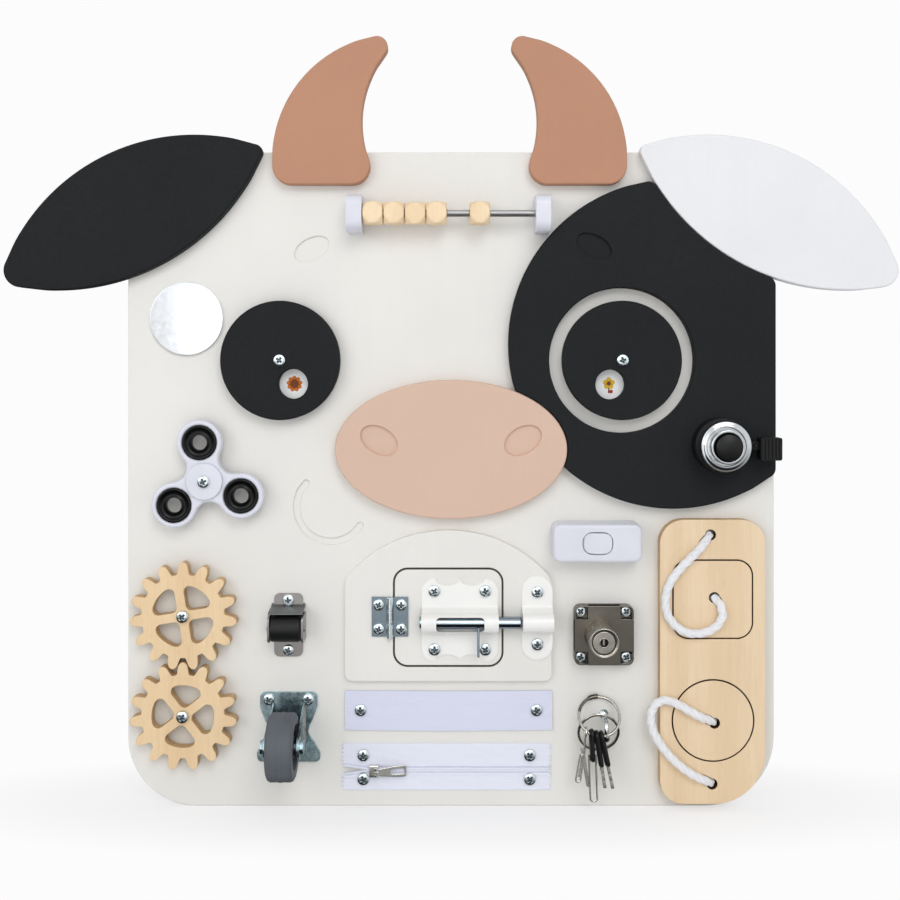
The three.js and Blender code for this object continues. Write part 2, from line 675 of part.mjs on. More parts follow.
function gearShape(phase) {
  const outline = new Outline();
  const halfPitch = HALF_TURN / GEAR_TEETH;
  for (let i = 0; i < GEAR_TEETH; i += 1) {
    const middle = phase + 2 * halfPitch * i;
    const rise = TOOTH_SHARES.map(([height, half]) => [height, -half]);
    const fall = TOOTH_SHARES.toReversed();
    for (const [height, half] of [...rise, ...fall]) {
      const radius = GEAR.root + (GEAR.tip - GEAR.root) * height;
      const angle = middle + half * halfPitch;
      outline.to(radius * Math.cos(angle), radius * Math.sin(angle));
    }
  }
  return outline.shape();
}

// One window between two spokes, the first spoke at the angle "turn".
function gearWindow(turn) {
  const { radius, spoke, corner } = GEAR_WINDOW;
  const side = spoke / 2 + corner;
  const run = Math.sqrt((radius - corner) ** 2 - side * side);
  const near = at(side, side);
  const right = at(run, side);
  const left = at(side, run);
  const centre = at(0, 0);
  const outline = new Outline()
    .arc(near, corner, HALF_TURN, HALF_TURN + RIGHT_ANGLE)
    .arc(right, corner, -RIGHT_ANGLE, angleFrom(centre, right))
    .arc(centre, radius, angleFrom(centre, right), angleFrom(centre, left))
    .arc(left, corner, angleFrom(centre, left), HALF_TURN);
  outline.points.forEach((point) => point.rotateAround(centre, turn));
  return outline.shape();
}

function gear(phase, spokeAngle) {
  const top = GEAR.lift + GEAR.thickness;
  const windows = [];
  for (let i = 0; i < GEAR_SPOKES; i += 1) {
    windows.push(slab(gearWindow(spokeAngle + i * RIGHT_ANGLE), 0, top + CUT));
  }
  const bore = screwHole(PIVOT_SCREW, 0, 0, 0, top + CUT);
  return cutBy(slab(gearShape(phase), GEAR.lift, top), ...windows, bore);
}

// A screw with the spacer that keeps the gear off the board.
function gearScrew() {
  const spacerTop = GEAR.lift - SEAT_GAP;
  return turned([
    [0, -PIVOT_SCREW.depth], [PIVOT_SCREW.shank, -PIVOT_SCREW.depth], [PIVOT_SCREW.shank, 0], [SPACER, 0],
    [SPACER, spacerTop], [PIVOT_SCREW.shank, spacerTop],
    ...headProfile(PIVOT_SCREW, GEAR.lift + GEAR.thickness + SEAT_GAP),
  ], 'out');
}

const halfPitch = HALF_TURN / GEAR_TEETH;
const GEARS = [
  { name: 'upper', z: GEAR.upperZ, phase: -RIGHT_ANGLE + halfPitch, spokes: UPPER_SPOKE_ANGLE },
  { name: 'lower', z: GEAR.upperZ - GEAR.distance, phase: RIGHT_ANGLE, spokes: LOWER_SPOKE_ANGLE },
];
for (const { name, z, phase, spokes } of GEARS) {
  const group = sideStation(LEFT, { inset: GEAR.inset, z });
  addPiece(group, `gear_${name}`, gear(phase, spokes), BIRCH);
  addPiece(group, `gear_${name}_screw`, gearScrew(), ZINC);
  boreBoard(group, 0, 0, PIVOT_SCREW.shank, PIVOT_SCREW.depth);
}

// Small roller

const roller = sideStation(LEFT, ROLLER);

// A plate with a cheek on each side and the riveted axle between them.
function rollerBracket() {
  const { width, height, thickness, corner, cheek, cheekTall, screwZ } = ROLLER_PLATE;
  const inside = ROLLER.length / 2 + SIDE_GAP;
  const outside = inside + cheek;
  const cheekTop = ROLLER.height + ROLLER_AXLE.radius + ROLLER_PLATE.corner;
  const cheekShape = rectangle(0, cheekTop / 2, cheekTall, cheekTop, [0, 0, corner, corner]);
  const bridge = slab(rectangle(0, 0, 2 * outside, cheekTall, 0), 0, thickness);
  const plate = joined(
    slab(rectangle(0, 0, width, height, corner), 0, thickness),
    bridge,
    beam(cheekShape, -outside, -inside),
    beam(cheekShape, inside, outside),
  );
  const { radius, rivet, rivetRise } = ROLLER_AXLE;
  const end = outside + rivetRise;
  const axle = turned([
    [0, -end], [radius, -end], [rivet, -outside], [radius, -outside], [radius, outside],
    [rivet, outside], [radius, end], [0, end],
  ], 'x', 0, ROLLER.height, 0);
  return screwedDown(roller, joined(plate, axle), [[0, screwZ], [0, -screwZ]], thickness);
}

addPiece(roller, 'roller_bracket', rollerBracket(), ZINC);
addPiece(roller, 'roller_drum', cutBy(
  rod(ROLLER.radius, -ROLLER.length / 2, ROLLER.length / 2, 'x', 0, ROLLER.height, 0),
  rod(ROLLER_AXLE.radius + BORE_GAP, -ROLLER.length, ROLLER.length, 'x', 0, ROLLER.height, 0),
), BLACK_PLASTIC);

// Fixed caster

const caster = sideStation(LEFT, CASTER);

// The bracket's plate is drawn in at a waist below its screws and widens again to its foot.
function casterPlateShape() {
  const { width, foot, height, corner, shoulder, waist, waistZ, ankle } = CASTER_PLATE;
  const top = height / 2;
  const upper = width / 2;
  const lower = foot / 2;
  const sides = [1, -1].map((side) => new THREE.CatmullRomCurve3([
    new THREE.Vector3(side * lower, ankle, 0),
    new THREE.Vector3(side * (waist + foot) / 4, (waistZ + ankle) / 2, 0),
    new THREE.Vector3(side * waist / 2, waistZ, 0),
    new THREE.Vector3(side * (waist + width) / 4, (waistZ + shoulder) / 2, 0),
    new THREE.Vector3(side * upper, shoulder, 0),
  ], false, 'centripetal').getPoints(CASTER_PLATE_STEPS));
  const outline = new Outline().arc(at(lower - corner, -top + corner), corner, -RIGHT_ANGLE, 0);
  sides[0].forEach((point) => outline.to(point.x, point.y));
  outline
    .arc(at(upper - corner, top - corner), corner, 0, RIGHT_ANGLE)
    .arc(at(-upper + corner, top - corner), corner, RIGHT_ANGLE, HALF_TURN);
  sides[1].toReversed().forEach((point) => outline.to(point.x, point.y));
  return outline
    .arc(at(-lower + corner, -top + corner), corner, HALF_TURN, HALF_TURN + RIGHT_ANGLE)
    .shape();
}

function casterBracket() {
  const { thickness, screwX, screwZ } = CASTER_PLATE;
  const inside = CASTER.tread / 2 + SIDE_GAP + SEAT_GAP;
  const outside = inside + CASTER_LEG.thickness;
  const axle = at(-CASTER.drop, CASTER.height);
  const foot = CASTER_LEG.foot / 2;
  const legShape = new Outline()
    .to(-foot, 0)
    .to(foot, 0)
    .arc(axle, CASTER_LEG.boss, 0, HALF_TURN)
    .shape();
  const { radius, nut, nutRise } = CASTER_AXLE;
  const end = outside + nutRise;
  const solid = joined(
    slab(casterPlateShape(), 0, thickness),
    beam(legShape, -outside, -inside),
    beam(legShape, inside, outside),
    turned([[0, -end], [nut, -end], [nut, -outside], [radius, -outside], [radius, outside], [nut, outside],
      [nut, end], [0, end]], 'x', 0, CASTER.height, -CASTER.drop),
  );
  return screwedDown(caster, solid, [[-screwX, screwZ], [screwX, screwZ]], thickness);
}

function casterWheel() {
  const { wheel, tread, treadRound } = CASTER;
  const half = tread / 2;
  const bore = CASTER_AXLE.radius + BORE_GAP;
  return turned([
    [bore, -half], [wheel - treadRound, -half], [wheel - treadRound * 0.3, -half + treadRound * 0.4],
    [wheel, -half + treadRound * 1.3], [wheel, half - treadRound * 1.3],
    [wheel - treadRound * 0.3, half - treadRound * 0.4], [wheel - treadRound, half],
    [bore, half], [bore, -half],
  ], 'x', 0, CASTER.height, -CASTER.drop);
}

addPiece(caster, 'caster_bracket', casterBracket(), ZINC);
addPiece(caster, 'caster_wheel', casterWheel(), RUBBER);

// Door, frame and hinge

const door = station(DOOR.x, DOOR.z);
const hingeX = -DOOR.width / 2 - HINGE.outside;
const hingeAxis = DOOR.thickness + HINGE.knuckle + SEAT_GAP;

function frameShape() {
  const { width, below, archTop, archRadius, shoulder, corner } = FRAME;
  const half = width / 2;
  const arch = at(0, archTop - archRadius);
  const reach = archRadius - shoulder;
  const right = at(half - shoulder, arch.y + Math.sqrt(reach * reach - (half - shoulder) ** 2));
  const left = at(-right.x, right.y);
  return new Outline()
    .arc(at(-half + corner, -below + corner), corner, HALF_TURN, HALF_TURN + RIGHT_ANGLE)
    .arc(at(half - corner, -below + corner), corner, -RIGHT_ANGLE, 0)
    .arc(right, shoulder, 0, angleFrom(arch, right))
    .arc(arch, archRadius, angleFrom(arch, right), angleFrom(arch, left))
    .arc(left, shoulder, angleFrom(arch, left), HALF_TURN)
    .shape();
}

const hingeScrews = [-HINGE.screwZ, HINGE.screwZ].map((z) => HINGE.z + z);
const frameHingePlaces = hingeScrews.map((z) => [hingeX - HINGE.screwX, z]);
const doorHingePlaces = hingeScrews.map((z) => [hingeX + HINGE.screwX, z]);
const keeperX = DOOR.width / 2 + KEEPER.gap - DOOR.gap + KEEPER.width / 2;
const keeperPlaces = [[keeperX, KEEPER.z + KEEPER.screwZ], [keeperX, KEEPER.z - KEEPER.screwZ]];
const boltPlaces = [[-1, 1], [1, 1], [-1, -1], [1, -1]].map(([sx, sz]) => (
  [BOLT.x + sx * BOLT.screwX, BOLT.z + sz * BOLT.screwZ]));

addPiece(door, 'door_frame', cutBy(
  slab(frameShape(), 0, DOOR.thickness),
  slab(
    rectangle(0, 0, DOOR.width + 2 * DOOR.gap, DOOR.height + 2 * DOOR.gap, DOOR.corner + DOOR.gap),
    -CUT,
    DOOR.thickness + CUT,
  ),
  ...[...frameHingePlaces, ...keeperPlaces].map(
    ([x, z]) => screwHole(SCREW, x, z, -CUT, DOOR.thickness + CUT),
  ),
), CREAM);

addPiece(door, 'door_panel', cutBy(
  slab(rectangle(0, 0, DOOR.width, DOOR.height, DOOR.corner), SEAT_GAP, DOOR.thickness),
  ...[...doorHingePlaces, ...boltPlaces].map(([x, z]) => screwHole(SCREW, x, z, 0, DOOR.thickness + CUT)),
), CREAM);

// Half of the hinge: the frame's leaf on the left has the end knuckles and the pin, the door's leaf the
// middle one.
function hingeLeaf(side) {
  const { height, leaf, leafWidth, knuckle, pin, bore, pinRise, split } = HINGE;
  const share = height / HINGE_KNUCKLES;
  const plate = DOOR.thickness;
  const far = hingeX + side * leafWidth;
  const spans = [0, 1, 2].map((i) => [-height / 2 + i * share, -height / 2 + (i + 1) * share]);
  const mine = side === RIGHT ? [spans[1]] : [spans[0], spans[2]];
  const others = side === RIGHT ? [spans[0], spans[2]] : [spans[1]];
  const x0 = Math.min(hingeX, far);
  const flat = rectangle((hingeX + far) / 2, HINGE.z, Math.abs(far - hingeX), height, 0);
  const sheet = slab(flat, plate, plate + leaf);
  const tubes = mine.map(([from, to]) => (
    rod(knuckle, from + split / 2, to - split / 2, 'z', hingeX, hingeAxis, HINGE.z)));
  const webs = mine.map(([from, to]) => post(
    rectangle(hingeX + side * knuckle / 2, (plate + hingeAxis) / 2, knuckle, hingeAxis - plate, 0),
    HINGE.z + from + split / 2,
    HINGE.z + to - split / 2,
  ));
  const rooms = others.map(([from, to]) => rod(
    knuckle + 2 * SEAT_GAP,
    from - split / 2,
    to + split / 2,
    'z',
    hingeX,
    hingeAxis,
    HINGE.z,
  ));
  const body = joined(cutBy(sheet, ...rooms), ...webs, ...tubes);
  if (side === RIGHT) {
    return cutBy(body, rod(bore, -height, height, 'z', hingeX, hingeAxis, HINGE.z));
  }
  return joined(body, rod(pin, -height / 2 - pinRise, height / 2, 'z', hingeX, hingeAxis, HINGE.z));
}

function doorScrews(solid, places, seat) {
  return places.reduce((sum, [x, z]) => (
    joined(sum, screwSolid(SCREW, x, z, seat - SCREW.bite, 2 * SEAT_GAP))), solid);
}

const leafTop = DOOR.thickness + HINGE.leaf;
addPiece(door, 'hinge_leaf_frame', screwedDown(door, hingeLeaf(LEFT), frameHingePlaces, leafTop), ZINC);
addPiece(door, 'hinge_leaf_door', doorScrews(hingeLeaf(RIGHT), doorHingePlaces, leafTop), ZINC);

// Barrel bolt

const rodHeight = DOOR.thickness + BOLT_ROD.axis;

// The raised band over the rod, as an outline in (z, height); "spare" makes it larger all round.
function humpShape(spare) {
  const waist = BOLT_HUMP.waist - (BOLT_HUMP.wall - spare);
  const foot = DOOR.thickness;
  if (spare === 0) {
    return new Outline().to(BOLT.z - waist, foot - CUT).to(BOLT.z + waist, foot - CUT)
      .arc(at(BOLT.z, rodHeight), waist, 0, HALF_TURN).shape();
  }
  return new Outline()
    .to(BOLT.z - BOLT_HUMP.footHalf, foot)
    .to(BOLT.z + BOLT_HUMP.footHalf, foot)
    .to(BOLT.z + BOLT_HUMP.footHalf, foot + BOLT.plate + BOLT_HUMP.footRise)
    .to(BOLT.z + waist, foot + (rodHeight - foot) / 2)
    .arc(at(BOLT.z, rodHeight), waist, 0, HALF_TURN)
    .to(BOLT.z - waist, foot + (rodHeight - foot) / 2)
    .to(BOLT.z - BOLT_HUMP.footHalf, foot + BOLT.plate + BOLT_HUMP.footRise)
    .shape();
}

// The bolt's plate: a lobe round each screw, and between them two scallops that meet in a cusp.
function boltPlateShape() {
  const { x, z, width, height, lobe, screwX } = BOLT;
  const half = width / 2;
  const rise = height / 2;
  const scallop = lobe * 0.55;
  const outline = new Outline();
  for (const side of [-1, 1]) {
    const turn = side < 0 ? 0 : HALF_TURN;
    const spot = (dx, dz) => at(dx, dz).rotateAround(at(0, 0), turn).add(at(x, z));
    const far = spot(-half + lobe, -rise + lobe);
    const near = spot(half - lobe, -rise + lobe);
    outline.arc(far, lobe, turn + HALF_TURN, turn + HALF_TURN + RIGHT_ANGLE);
    for (const step of [-1, 1]) {
      const middle = step * (half - lobe) / 2;
      const radius = (half - lobe) / 2;
      for (let i = 1; i < 6; i += 1) {
        const angle = HALF_TURN - HALF_TURN * i / 6;
        const point = spot(middle + radius * Math.cos(angle), -rise + scallop * Math.sin(angle));
        outline.to(point.x, point.y);
      }
      if (step < 0) outline.to(spot(0, -rise).x, spot(0, -rise).y);
    }
    outline.arc(near, lobe, turn - RIGHT_ANGLE, turn);
  }
  return outline.shape();
}

function boltPlate() {
  const top = DOOR.thickness + BOLT.plate;
  const slotFront = rodHeight + BOLT_HUMP.waist + CUT;
  const left = BOLT.x - BOLT.width / 2;
  const right = BOLT.x + BOLT.width / 2;
  const slotShape = new Outline()
    .to(BOLT_SLOT.from, BOLT.z - BOLT_SLOT.below)
    .to(BOLT_SLOT.to, BOLT.z - BOLT_SLOT.below)
    .to(BOLT_SLOT.to, BOLT.z + BOLT_SLOT.above)
    .to(BOLT_SLOT.from, BOLT.z + BOLT_SLOT.above)
    .shape();
  const pressed = cutBy(
    joined(slab(boltPlateShape(), DOOR.thickness, top), beam(humpShape(BOLT_HUMP.wall), left, right)),
    beam(humpShape(0), left - CUT, right + CUT),
    slab(slotShape, DOOR.thickness + HANDLE.from - SIDE_GAP, slotFront),
  );
  return doorScrews(pressed, boltPlaces, top);
}

// The rod with its handle, a flat bar that stands out of the slot and hangs down in front of the plate.
function boltRod() {
  const mouth = keeperX - KEEPER.width / 2;
  const from = BOLT.x - BOLT.width / 2 - BOLT_ROD.behind;
  const to = mouth - BOLT_ROD.tipGap;
  const chamfer = BOLT_ROD.radius / 4;
  const bar = turned([
    [0, from], [BOLT_ROD.radius, from], [BOLT_ROD.radius, to - chamfer],
    [BOLT_ROD.radius - chamfer, to], [0, to],
  ], 'x', 0, rodHeight, BOLT.z);
  const handleShape = new Outline()
    .to(BOLT.z - HANDLE.reach, DOOR.thickness + HANDLE.from)
    .to(BOLT.z, DOOR.thickness + HANDLE.from)
    .to(BOLT.z, DOOR.thickness + HANDLE.to)
    .to(BOLT.z - HANDLE.reach, DOOR.thickness + HANDLE.to)
    .shape();
  return joined(bar, beam(handleShape, BOLT_ROD.handleX, BOLT_ROD.handleX + BOLT_ROD.handle));
}

function keeper() {
  const top = DOOR.thickness + BOLT.plate;
  const half = KEEPER.width / 2;
  const flat = rectangle(keeperX, KEEPER.z, KEEPER.width, KEEPER.height, half - SAME_POINT);
  const plate = slab(flat, DOOR.thickness, top);
  const pressed = cutBy(
    joined(plate, beam(humpShape(BOLT_HUMP.wall), keeperX - half, keeperX + half)),
    beam(humpShape(0), keeperX - half - CUT, keeperX + half + CUT),
  );
  return screwedDown(door, pressed, keeperPlaces, top);
}

addPiece(door, 'latch_plate', boltPlate(), WHITE_METAL);
addPiece(door, 'latch_rod', boltRod(), ZINC);
addPiece(door, 'latch_keeper', keeper(), WHITE_METAL);

// Elastic strap

const strap = station(STRAP.x, STRAP.z);
addPiece(strap, 'strap_band', screwedDown(
  strap,
  slab(rectangle(0, 0, STRAP.width, STRAP.height, 0), 0, STRAP.thickness),
  [[-STRAP.screwX, STRAP.screwZ], [STRAP.screwX, STRAP.screwZ]],
  STRAP.thickness,
), WHITE_FABRIC);

// Zipper

const zip = station(ZIP.x, ZIP.z);
const chainTop = ZIP.thickness + CHAIN.rise;

// The two tapes, closed by the chain, with pinked ends.
function zipShape() {
  const outline = new Outline();
  for (const side of [1, -1]) {
    for (let i = 0; i <= 2 * ZIP_PINKS; i += 1) {
      const depth = i % 2 === 0 ? 0 : ZIP.pinking;
      outline.to(side * (ZIP.width / 2 - depth), side * ZIP.height * (i / (2 * ZIP_PINKS) - 0.5));
    }
  }
  return outline.shape();
}

const zipPlaces = [[-1, 1], [-1, -1], [1, 1], [1, -1]].map(
  ([sx, sz]) => [sx * ZIP.screwX, sz * ZIP.screwZ],
);
addPiece(zip, 'zipper_tape', screwedDown(zip, joined(
  slab(zipShape(), 0, ZIP.thickness),
  slab(rectangle(0, CHAIN.z, ZIP.width - 2 * ZIP.pinking, CHAIN.width, 0), 0, chainTop),
), zipPlaces, ZIP.thickness), WHITE_FABRIC);

const pullAxis = chainTop + SLIDER.rise + PULL.collar + SEAT_GAP;
const pullX = SLIDER.x + SLIDER.length / 2 - SLIDER.wall;

// The slider straddles the chain and carries the pull's pin in a lug on its back.
function zipSlider() {
  const from = SLIDER.x - SLIDER.length / 2;
  const to = SLIDER.x + SLIDER.length / 2;
  const low = ZIP.thickness + SEAT_GAP;
  const high = chainTop + SLIDER.rise;
  const body = beam(rectangle(CHAIN.z, (low + high) / 2, SLIDER.height, high - low, SLIDER.wall), from, to);
  const channel = beam(
    rectangle(CHAIN.z, chainTop, CHAIN.width + 2 * SEAT_GAP, 2 * (SEAT_GAP + CHAIN.rise), 0),
    from - CUT,
    to + CUT,
  );
  const lugTop = pullAxis + PULL.pin + SEAT_GAP;
  const lug = post(
    rectangle(pullX, (high - SLIDER.wall + lugTop) / 2, 2 * PULL.collar, lugTop - high + SLIDER.wall, 0),
    CHAIN.z - SLIDER.wall / 2,
    CHAIN.z + SLIDER.wall / 2,
  );
  const pinEnd = PULL.height / 2 - PULL.rim / 2;
  const pin = rod(PULL.pin, CHAIN.z - pinEnd, CHAIN.z + pinEnd, 'z', pullX, pullAxis, 0);
  return joined(cutBy(body, channel), lug, pin);
}

// The pull tab: two collars on the slider's pin and a plate with a grip hole.
function zipPull() {
  const { reach, height, thickness, pin, collar, holeLength, holeHeight, rim } = PULL;
  const end = pullX + reach;
  const low = pullAxis - thickness / 2;
  const high = pullAxis + thickness / 2;
  const plate = slab(rectangle((pullX + end) / 2, CHAIN.z, end - pullX, height, thickness), low, high);
  const collars = rod(collar, CHAIN.z - height / 2, CHAIN.z + height / 2, 'z', pullX, pullAxis, 0);
  const room = slab(
    rectangle(pullX, CHAIN.z, 2 * (collar + SIDE_GAP), 2 * SIDE_GAP + SLIDER.wall, 0),
    low - 2 * collar,
    high + 2 * collar,
  );
  const grip = slab(
    rectangle(end - rim - holeLength / 2, CHAIN.z, holeLength, holeHeight, thickness),
    low - CUT,
    high + CUT,
  );
  const bore = rod(pin + SEAT_GAP, CHAIN.z - height, CHAIN.z + height, 'z', pullX, pullAxis, 0);
  return cutBy(joined(plate, collars), room, grip, bore);
}

addPiece(zip, 'zipper_slider', zipSlider(), NICKEL);
addPiece(zip, 'zipper_pull', zipPull(), NICKEL);

// Toggle switch

const toggle = sideStation(RIGHT, SWITCH);

// The housing, narrower at its front, with a well for the rocker.
function switchBody() {
  const { width, height, depth, corner, bevel } = SWITCH;
  const shell = joined(
    slab(rectangle(0, 0, width, height, corner), 0, depth - bevel),
    slab(rectangle(0, 0, width - bevel, height - bevel, corner), 0, depth - bevel / 3),
    slab(rectangle(0, 0, width - 2 * bevel, height - 2 * bevel, corner), 0, depth),
  );
  const wellWidth = ROCKER.width + 2 * SIDE_GAP;
  const wellHeight = ROCKER.height + 2 * SIDE_GAP;
  const well = rectangle(0, 0, wellWidth, wellHeight, ROCKER.corner + SIDE_GAP);
  return cutBy(shell, slab(well, depth - ROCKER.well, depth + CUT));
}

// The rocker's top is two flats that meet in a ridge across its middle; it is drawn tipped to one side.
function switchRocker() {
  const { width, height, corner, well, stand, bend, throw: tip } = ROCKER;
  const top = SWITCH.depth + stand;
  const floor = SWITCH.depth - well / 2;
  const tall = slab(rectangle(0, 0, width, height, corner), floor, top);
  const half = width / 2;
  const profile = new Outline()
    .to(-half, top - half * Math.tan(bend + tip / 2))
    .to(0, top)
    .to(half, top - half * Math.tan(bend - tip / 2))
    .to(half, floor - CUT)
    .to(-half, floor - CUT)
    .shape();
  return tall.intersect(post(profile, -height, height));
}

addPiece(toggle, 'switch_body', switchBody(), WHITE_PLASTIC);
addPiece(toggle, 'switch_rocker', switchRocker(), WHITE_PLASTIC);

// Bell

const bell = sideStation(RIGHT, BELL);
const bellFloor = SLAB_T;
const baseTop = bellFloor + BELL.baseRise;
const domeMouth = baseTop + 2 * SEAT_GAP;
const domeTop = domeMouth + DOME.rise;

// The black base: a round block with the post that carries the dome, its cap, and the striker's lug and
// pin.
function bellBase() {
  const capSeat = domeTop + DOME.ringRise + SEAT_GAP;
  const body = turned([
    [0, bellFloor], [BELL.base, bellFloor], [BELL.base, baseTop - BELL.lip],
    [BELL.base - BELL.lip, baseTop],
    [BELL.post, baseTop], [BELL.post, domeTop + SEAT_GAP], [BELL.post, capSeat], [BELL.cap, capSeat],
    [BELL.cap, capSeat + BELL.capRise / 3], [BELL.cap * 0.7, capSeat + BELL.capRise * 0.85],
    [0, capSeat + BELL.capRise],
  ], 'out');
  const lugTop = bellFloor + STRIKER.lug;
  const { lugX, boss, armRise } = STRIKER;
  const lug = slab(rectangle(lugX / 2, 0, lugX + 2 * boss, 2 * boss, 0), bellFloor, lugTop);
  const pin = rod(STRIKER.pin, bellFloor, lugTop + armRise + 2 * SEAT_GAP + CUT, 'out', lugX, 0, 0);
  const room = rod(
    STRIKER.boss + SIDE_GAP,
    lugTop,
    lugTop + STRIKER.armRise + 2 * SEAT_GAP,
    'out',
    STRIKER.lugX,
    0,
    0,
  );
  return joined(cutBy(joined(body, lug), room), pin);
}

function bellDome() {
  const { radius, wall, shoulder, ring, ringRise, straightShare } = DOME;
  const bend = domeMouth + DOME.rise * straightShare;
  const outer = [[radius, domeMouth], [radius, bend]];
  for (let i = 1; i <= DOME_STEPS; i += 1) {
    const angle = RIGHT_ANGLE * i / DOME_STEPS;
    outer.push([
      shoulder + (radius - shoulder) * Math.cos(angle),
      bend + (domeTop - bend) * Math.sin(angle),
    ]);
  }
  outer.push([shoulder - wall, domeTop]);
  outer.push([ring + wall / 2, domeTop + ringRise], [ring - wall, domeTop + ringRise]);
  outer.push([ring - wall, domeTop]);
  const eye = BELL.post + BORE_GAP;
  const inner = [[eye, domeTop], [eye, domeTop - wall], [shoulder - wall, domeTop - wall]];
  for (let i = DOME_STEPS - 1; i >= 0; i -= 1) {
    const angle = RIGHT_ANGLE * i / DOME_STEPS;
    inner.push([
      shoulder - wall + (radius - shoulder) * Math.cos(angle),
      bend + (domeTop - wall - bend) * Math.sin(angle),
    ]);
  }
  inner.push([radius - wall, domeMouth], [radius, domeMouth]);
  return turned([...outer, ...inner], 'out');
}

// The thumb striker: a boss on the pin, an arm and a ribbed pad.
function bellStriker() {
  const low = bellFloor + STRIKER.lug + SEAT_GAP;
  const high = low + STRIKER.armRise;
  const { below, above, rise, rib } = STRIKER_PAD;
  const padTop = low + rise;
  const boss = rod(STRIKER.boss, low, high, 'out', STRIKER.lugX, 0, 0);
  const armEnd = STRIKER.padFrom + CUT;
  const arm = slab(
    rectangle((STRIKER.lugX + armEnd) / 2, 0, armEnd - STRIKER.lugX, 2 * STRIKER.arm, 0),
    low,
    high,
  );
  const padWidth = STRIKER.padTo - STRIKER.padFrom;
  const padMiddle = (STRIKER.padTo + STRIKER.padFrom) / 2;
  const middle = (above - below) / 2;
  const pad = slab(rectangle(padMiddle, middle, padWidth, above + below, 1.5 * rib), low, padTop);
  const ribs = [];
  for (let i = 0; i < STRIKER_RIBS; i += 1) {
    const x = STRIKER.padFrom + padWidth * (i + 0.5) / STRIKER_RIBS;
    const ribWidth = padWidth / STRIKER_RIBS / 2;
    const line = rectangle(x, middle, ribWidth, above + below - 2 * rib, 0);
    ribs.push(slab(line, padTop - rib, padTop + rib));
  }
  const bore = rod(STRIKER.pin + BORE_GAP / 2, low - CUT, high + CUT, 'out', STRIKER.lugX, 0, 0);
  return cutBy(joined(boss, arm, pad, ...ribs), bore);
}

addPiece(bell, 'bell_base', bellBase(), BLACK_PLASTIC);
addPiece(bell, 'bell_dome', bellDome(), CHROME);
addPiece(bell, 'bell_striker', bellStriker(), BLACK_PLASTIC);

// Drawer lock

const lock = sideStation(RIGHT, LOCK);
const barrelTop = LOCK.thickness + BARREL.rise;

function lockBody() {
  const { size, thickness, corner, pocket, pocketFloor, screw } = LOCK;
  const corners = [[-1, -1], [-1, 1], [1, -1], [1, 1]];
  const pockets = corners.map(([sx, sz]) => slab(
    rectangle(sx * (size - pocket + CUT) / 2, sz * (size - pocket + CUT) / 2, pocket + CUT, pocket + CUT, 0),
    pocketFloor,
    thickness + CUT,
  ));
  const body = joined(
    cutBy(slab(rectangle(0, 0, size, size, corner), 0, thickness), ...pockets),
    rod(BARREL.radius, thickness / 2, barrelTop, 'out', BARREL.x, 0, BARREL.z),
  );
  const plugRoom = BARREL.plug + SEAT_GAP + FACET_SAG;
  const bored = cutBy(body, rod(plugRoom, BARREL.floor, barrelTop + CUT, 'out', BARREL.x, 0, BARREL.z));
  return screwedDown(lock, bored, corners.map(([sx, sz]) => [sx * screw, sz * screw]), pocketFloor);
}

function lockPlug() {
  const top = barrelTop - BARREL.recess;
  const slot = rectangle(BARREL.x, BARREL.z, 2 * BARREL.keyHole, BARREL.keySlot, BARREL.keyHole * 0.9);
  return cutBy(
    rod(BARREL.plug, BARREL.floor + SEAT_GAP, top, 'out', BARREL.x, 0, BARREL.z),
    slab(slot, LOCK.thickness + BARREL.rise / 2, top + CUT),
  );
}

addPiece(lock, 'lock_body', lockBody(), GUNMETAL);
addPiece(lock, 'lock_plug', lockPlug(), GUNMETAL);

// Hook, rings and keys

const hook = sideStation(RIGHT, HOOK);

// A wire along a curve in the plane x = 0, with a round section.
function wire(curve, radius, steps, sides) {
  const section = new THREE.Shape();
  for (let i = 0; i < sides; i += 1) {
    const angle = FULL_TURN * i / sides;
    const point = [radius * Math.cos(angle), radius * Math.sin(angle)];
    if (i === 0) section.moveTo(...point);
    else section.lineTo(...point);
  }
  return toSolid(new THREE.ExtrudeGeometry(section, { steps, extrudePath: curve, bevelEnabled: false }));
}

// Out of the board, down at the front and up again to the tip.
function hookCurve() {
  const slope = -HOOK_BOWL;
  const bowlHeight = HOOK_REACH + HOOK_BOWL;
  const rows = [[-HOOK.depth, 0], [0, 0]];
  rows.push([HOOK_REACH * 0.4, slope * 0.25], [HOOK_REACH * 0.72, slope * 0.65]);
  rows.push([HOOK_REACH * 0.95, slope * 1.35], [HOOK_REACH, -HOOK_DROP * 0.72]);
  for (let i = 0; i <= 4; i += 1) {
    const angle = HALF_TURN + HALF_TURN * i / 4;
    rows.push([bowlHeight + HOOK_BOWL * Math.cos(angle), -HOOK_DROP + HOOK_BOWL * Math.sin(angle)]);
  }
  const points = rows.map(([height, z]) => new THREE.Vector3(0, -height, z));
  return new THREE.CatmullRomCurve3(points, false, 'centripetal');
}

boreBoard(hook, 0, 0, HOOK.wire, HOOK.depth);
addPiece(hook, 'key_hook', joined(
  wire(hookCurve(), HOOK.wire, 28, 8),
  rod(HOOK.collar, 0, HOOK.collarRise, 'out', 0, 0, 0),
), ZINC);

function splitRing(radius) {
  const geometry = new THREE.TorusGeometry(radius, RING.wire, 6, 30);
  return toSolid(geometry.rotateX(RIGHT_ANGLE));
}

// How far a ring's wire lies inside its farthest point, at a place beside that point.
function inset(radius, place) {
  return radius - Math.sqrt(radius ** 2 - place ** 2);
}

